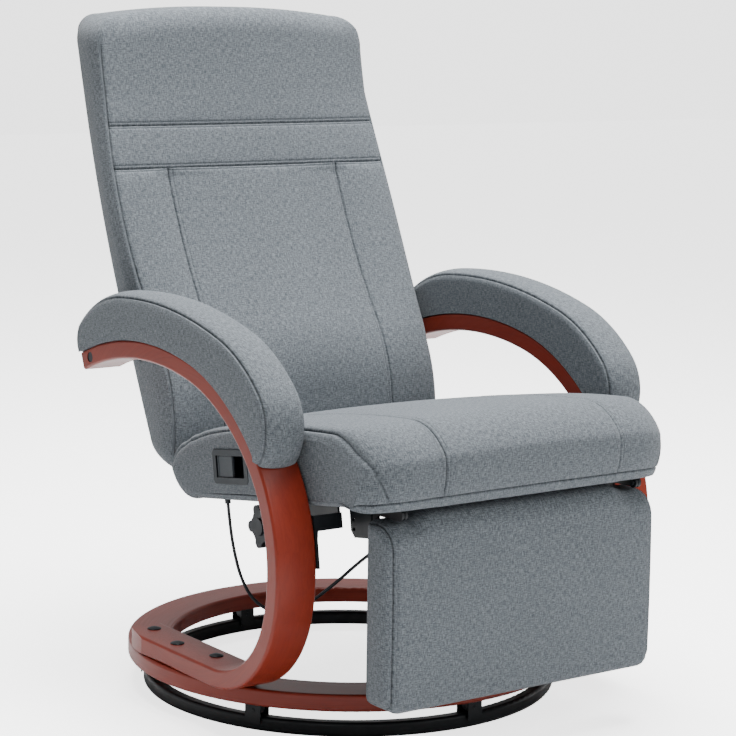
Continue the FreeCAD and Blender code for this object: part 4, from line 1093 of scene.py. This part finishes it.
def footrestBorders(x):
    size = footrestPanel
    inside = size["halfWidth"] - abs(x)
    corner = cornerInset(inside, size["corner"])
    crown = size["crown"] * (1 - (x / size["halfWidth"]) ** 2) + size["flatCrown"]
    front = size["front"] + cornerInset(inside, size["sideRound"]) * size["sideShare"]
    rear = size["rear"] - cornerInset(inside, size["rearRound"])
    share = clamp((size["riseEdge"] - abs(x)) / size["riseRun"])
    low = size["bottom"] + corner
    high = size["top"] - corner * size["topCorner"] + size["rise"] * share * share * (3 - 2 * share)
    nose = min(front + size["noseRound"], rear - size["noseGap"])
    anchors = {"front": front, "rear": rear, "nose": nose, "crown": front - crown, "low": low, "high": high,
               "middle": (low + high) / 2, "noseLow": high - size["noseRound"],
               "noseTurn": front + size["noseShare"] * (nose - front)}
    face, heel, head = [outline(anchors, size[key]) for key in ("face", "heel", "head")]
    return face, [face[-1], head[-1]], heel + head, [face[0], heel[0]]


def makeFootrest():
    size = footrestPanel
    seam = size["halfWidth"] - size["sideSeam"]
    half = spaced(0.0, size["halfWidth"], size["cell"], [seam, seam - size["topstitch"]])
    stations = mirrored(half, half)
    bm, places = wrapBlock(stations, even(size["columns"]), even(size["rows"]), footrestBorders,
                           size["sideBulge"])

    def depthOf(vert):
        i, j, k = places[vert]
        x = abs(stations[i])
        if j > 0 and 0 < k < size["rows"]:
            return 0.0
        stitch = stitchDepth(x - seam + size["topstitch"], size["stitchDepth"])
        return seamDepth(x - seam, *size["seamShape"]) + stitch

    sinkSeams(bm, depthOf)
    layWeave(bm, lambda v: v.co.z if places[v][1] in (0, size["columns"]) else v.co.y)
    panel = toObject(bm, "footrestPanel", cloth)
    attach(panel, "footrest")
    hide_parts("footrest_panel")
    return panel


footPiece = makeFootrest()
print("footrest made")


# Sewn rows
sewing = {
    "length": 3.2, "gap": 1.4, "thick": 0.6, "flat": 0.8, "step": 4.0, "lift": 0.1,
    "fall": 0.2,           # metres within which a dropped point has to meet the piece
    "back": {"acrossTo": 244.0, "low": 396.0, "below": 7.0},
    "seat": {"centre": (90.0, 40.0), "reach": 160.0, "turns": (4, 92, 3), "above": 620.0, "after": 4.0,
             "rearEnd": -120.0},
    "footrest": {"before": -560.0, "low": 112.0, "high": 326.0},
}


def stitchRun(bm, line):
    # Small thread lengths laid end to end along a line of (point, normal) pairs.
    wanted = 0.0
    passed = 0.0
    for (a, na), (b, nb) in zip(line, line[1:]):
        run = (b - a).length
        while run > 0 and wanted <= passed + run:
            share = (wanted - passed) / run
            along = (b - a).normalized()
            side = along.cross(na.lerp(nb, share).normalized()).normalized()
            turn = Matrix((side, along, side.cross(along))).transposed().to_4x4()
            thick = sewing["thick"]
            size = Matrix.Diagonal((thick, sewing["length"] / 2, thick * sewing["flat"], 1))
            bmesh.ops.create_icosphere(bm, subdivisions=1, radius=1.0,
                                       matrix=Matrix.Translation(a.lerp(b, share)) @ turn @ size)
            wanted += sewing["length"] + sewing["gap"]
        passed += run


def surfaceLine(made, points):
    # Drops points onto a piece along given directions; points are (start, direction) in millimetres.
    line = []
    for start, direction in points:
        start, direction = Vector(start) * 0.001, Vector(direction)
        hit, place, normal = made.ray_cast(start, direction, distance=sewing["fall"])[:3]
        if hit:
            line.append((place * 1000 + normal * sewing["lift"], normal))
    return line


def sewRows(name, made, body, rows):
    # rows are lists of (start, direction), which fall onto the piece
    bm = bmesh.new()
    for row in rows:
        stitchRun(bm, surfaceLine(made, row))
    sewn = toObject(bm, name, skins["stitchThread"])
    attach(sewn, body)


def fromTo(start, end):
    count = max(2, round(abs(end - start) / sewing["step"]))
    return [start + (end - start) * k / count for k in range(count + 1)]


def upright(x, y, low, high):
    return [((x, y, z), (0, 1, 0)) for z in fromTo(low, high)]


def sewBack():
    size, row = backCushion, sewing["back"]
    heights = [mark + side * size["topstitch"] for mark in size["seams"] for side in (-1, 1)]
    rows = [[((x, 0.0, z), (0, 1, 0)) for x in fromTo(-row["acrossTo"], row["acrossTo"])] for z in heights]
    across = size["uprightSeam"] - size["uprightStitch"]
    rows += [upright(x, 0.0, row["low"], size["seams"][0] - row["below"]) for x in (-across, across)]
    sewRows("backStitches", backPiece, "back", rows)


def sewSeat():
    size, row = seatCushion, sewing["seat"]
    middle = seatMatrix() @ Vector((0.0, size["nose"] + row["centre"][0], row["centre"][1]))
    turns = [radians(turn) for turn in range(*row["turns"])]
    across = size["seam"] + size["topstitch"]
    rows = []
    for x in (-across, across):
        rows.append([((x, middle.y - row["reach"] * cos(turn), middle.z + row["reach"] * sin(turn)),
                      (0, cos(turn), -sin(turn))) for turn in turns])
        rows[-1] += [((x, y, row["above"]), (0, 0, -1))
                     for y in fromTo(middle.y + row["after"], row["rearEnd"])]
    sewRows("seatStitches", seatPiece, "seat", rows)


def sewFootrest():
    size, row = footrestPanel, sewing["footrest"]
    across = size["halfWidth"] - size["sideSeam"] - size["topstitch"]
    rows = [upright(x, row["before"], row["low"], row["high"]) for x in (-across, across)]
    sewRows("footrestStitches", footPiece, "footrest", rows)


sewBack()
sewSeat()
sewFootrest()
print("sewn rows made")


# Floor and light
studio = {
    "floor": (0.92, 0.92, 0.92, 1), "floorRoughness": 0.9, "floorSize": 14.0,
    "floorGlow": 2.5,      # what only the camera sees of the floor, beside the light it gives
    "sky": 0.30,           # the light that the sky gives
    "skySeen": 2.7, "skyMirrored": 0.80,
    "aim": (0.0, 0.0, 0.45),
    "lights": {
        "key": {"place": (1.4, -3.6, 2.8), "size": 2.2, "power": 96.0},
        "fill": {"place": (-3.4, -2.6, 1.4), "size": 2.4, "power": 2.0},
        "top": {"place": (0.2, 0.15, 3.6), "size": 2.2, "power": 440.0},
    },
}


def makeFloor():
    bm = bmesh.new()
    bmesh.ops.create_grid(bm, x_segments=8, y_segments=8, size=studio["floorSize"])
    mesh = bpy.data.meshes.new("studioFloor")
    bm.to_mesh(mesh)
    bm.free()
    floor = newObject("studioFloor", mesh)
    material, tree, shader = newMaterial("paleFloor")
    seen = tree.nodes.new("ShaderNodeLightPath").outputs["Is Camera Ray"]
    plug(tree, shader, {"Base Color": studio["floor"], "Roughness": studio["floorRoughness"],
                        "Emission Color": (1, 1, 1, 1),
                        "Emission Strength": times(tree, seen, studio["floorGlow"])})
    mesh.materials.append(material)


def makeLight(name, size):
    data = bpy.data.lights.new(name + "Light", "AREA")
    data.energy = size["power"]
    data.size = size["size"]
    light = newObject(name + "Light", data)
    aim = Vector(studio["aim"]) - Vector(size["place"])
    light.matrix_world = Matrix.Translation(size["place"]) @ aim.to_track_quat("-Z", "Y").to_matrix().to_4x4()


def makeSky():
    world = bpy.data.worlds.new("studioSky")
    world.use_nodes = True
    bpy.context.scene.world = world
    tree = world.node_tree
    path = tree.nodes.new("ShaderNodeLightPath").outputs
    seen = times(tree, path["Is Camera Ray"], studio["skySeen"] - studio["sky"])
    mirrored = times(tree, path["Is Glossy Ray"], studio["skyMirrored"] - studio["sky"])
    strength = maths(tree, "ADD", maths(tree, "ADD", seen, mirrored), studio["sky"])
    plug(tree, tree.nodes["Background"], {"Color": (1, 1, 1, 1), "Strength": strength})


makeFloor()
makeSky()
for name, size in studio["lights"].items():
    makeLight(name, size)
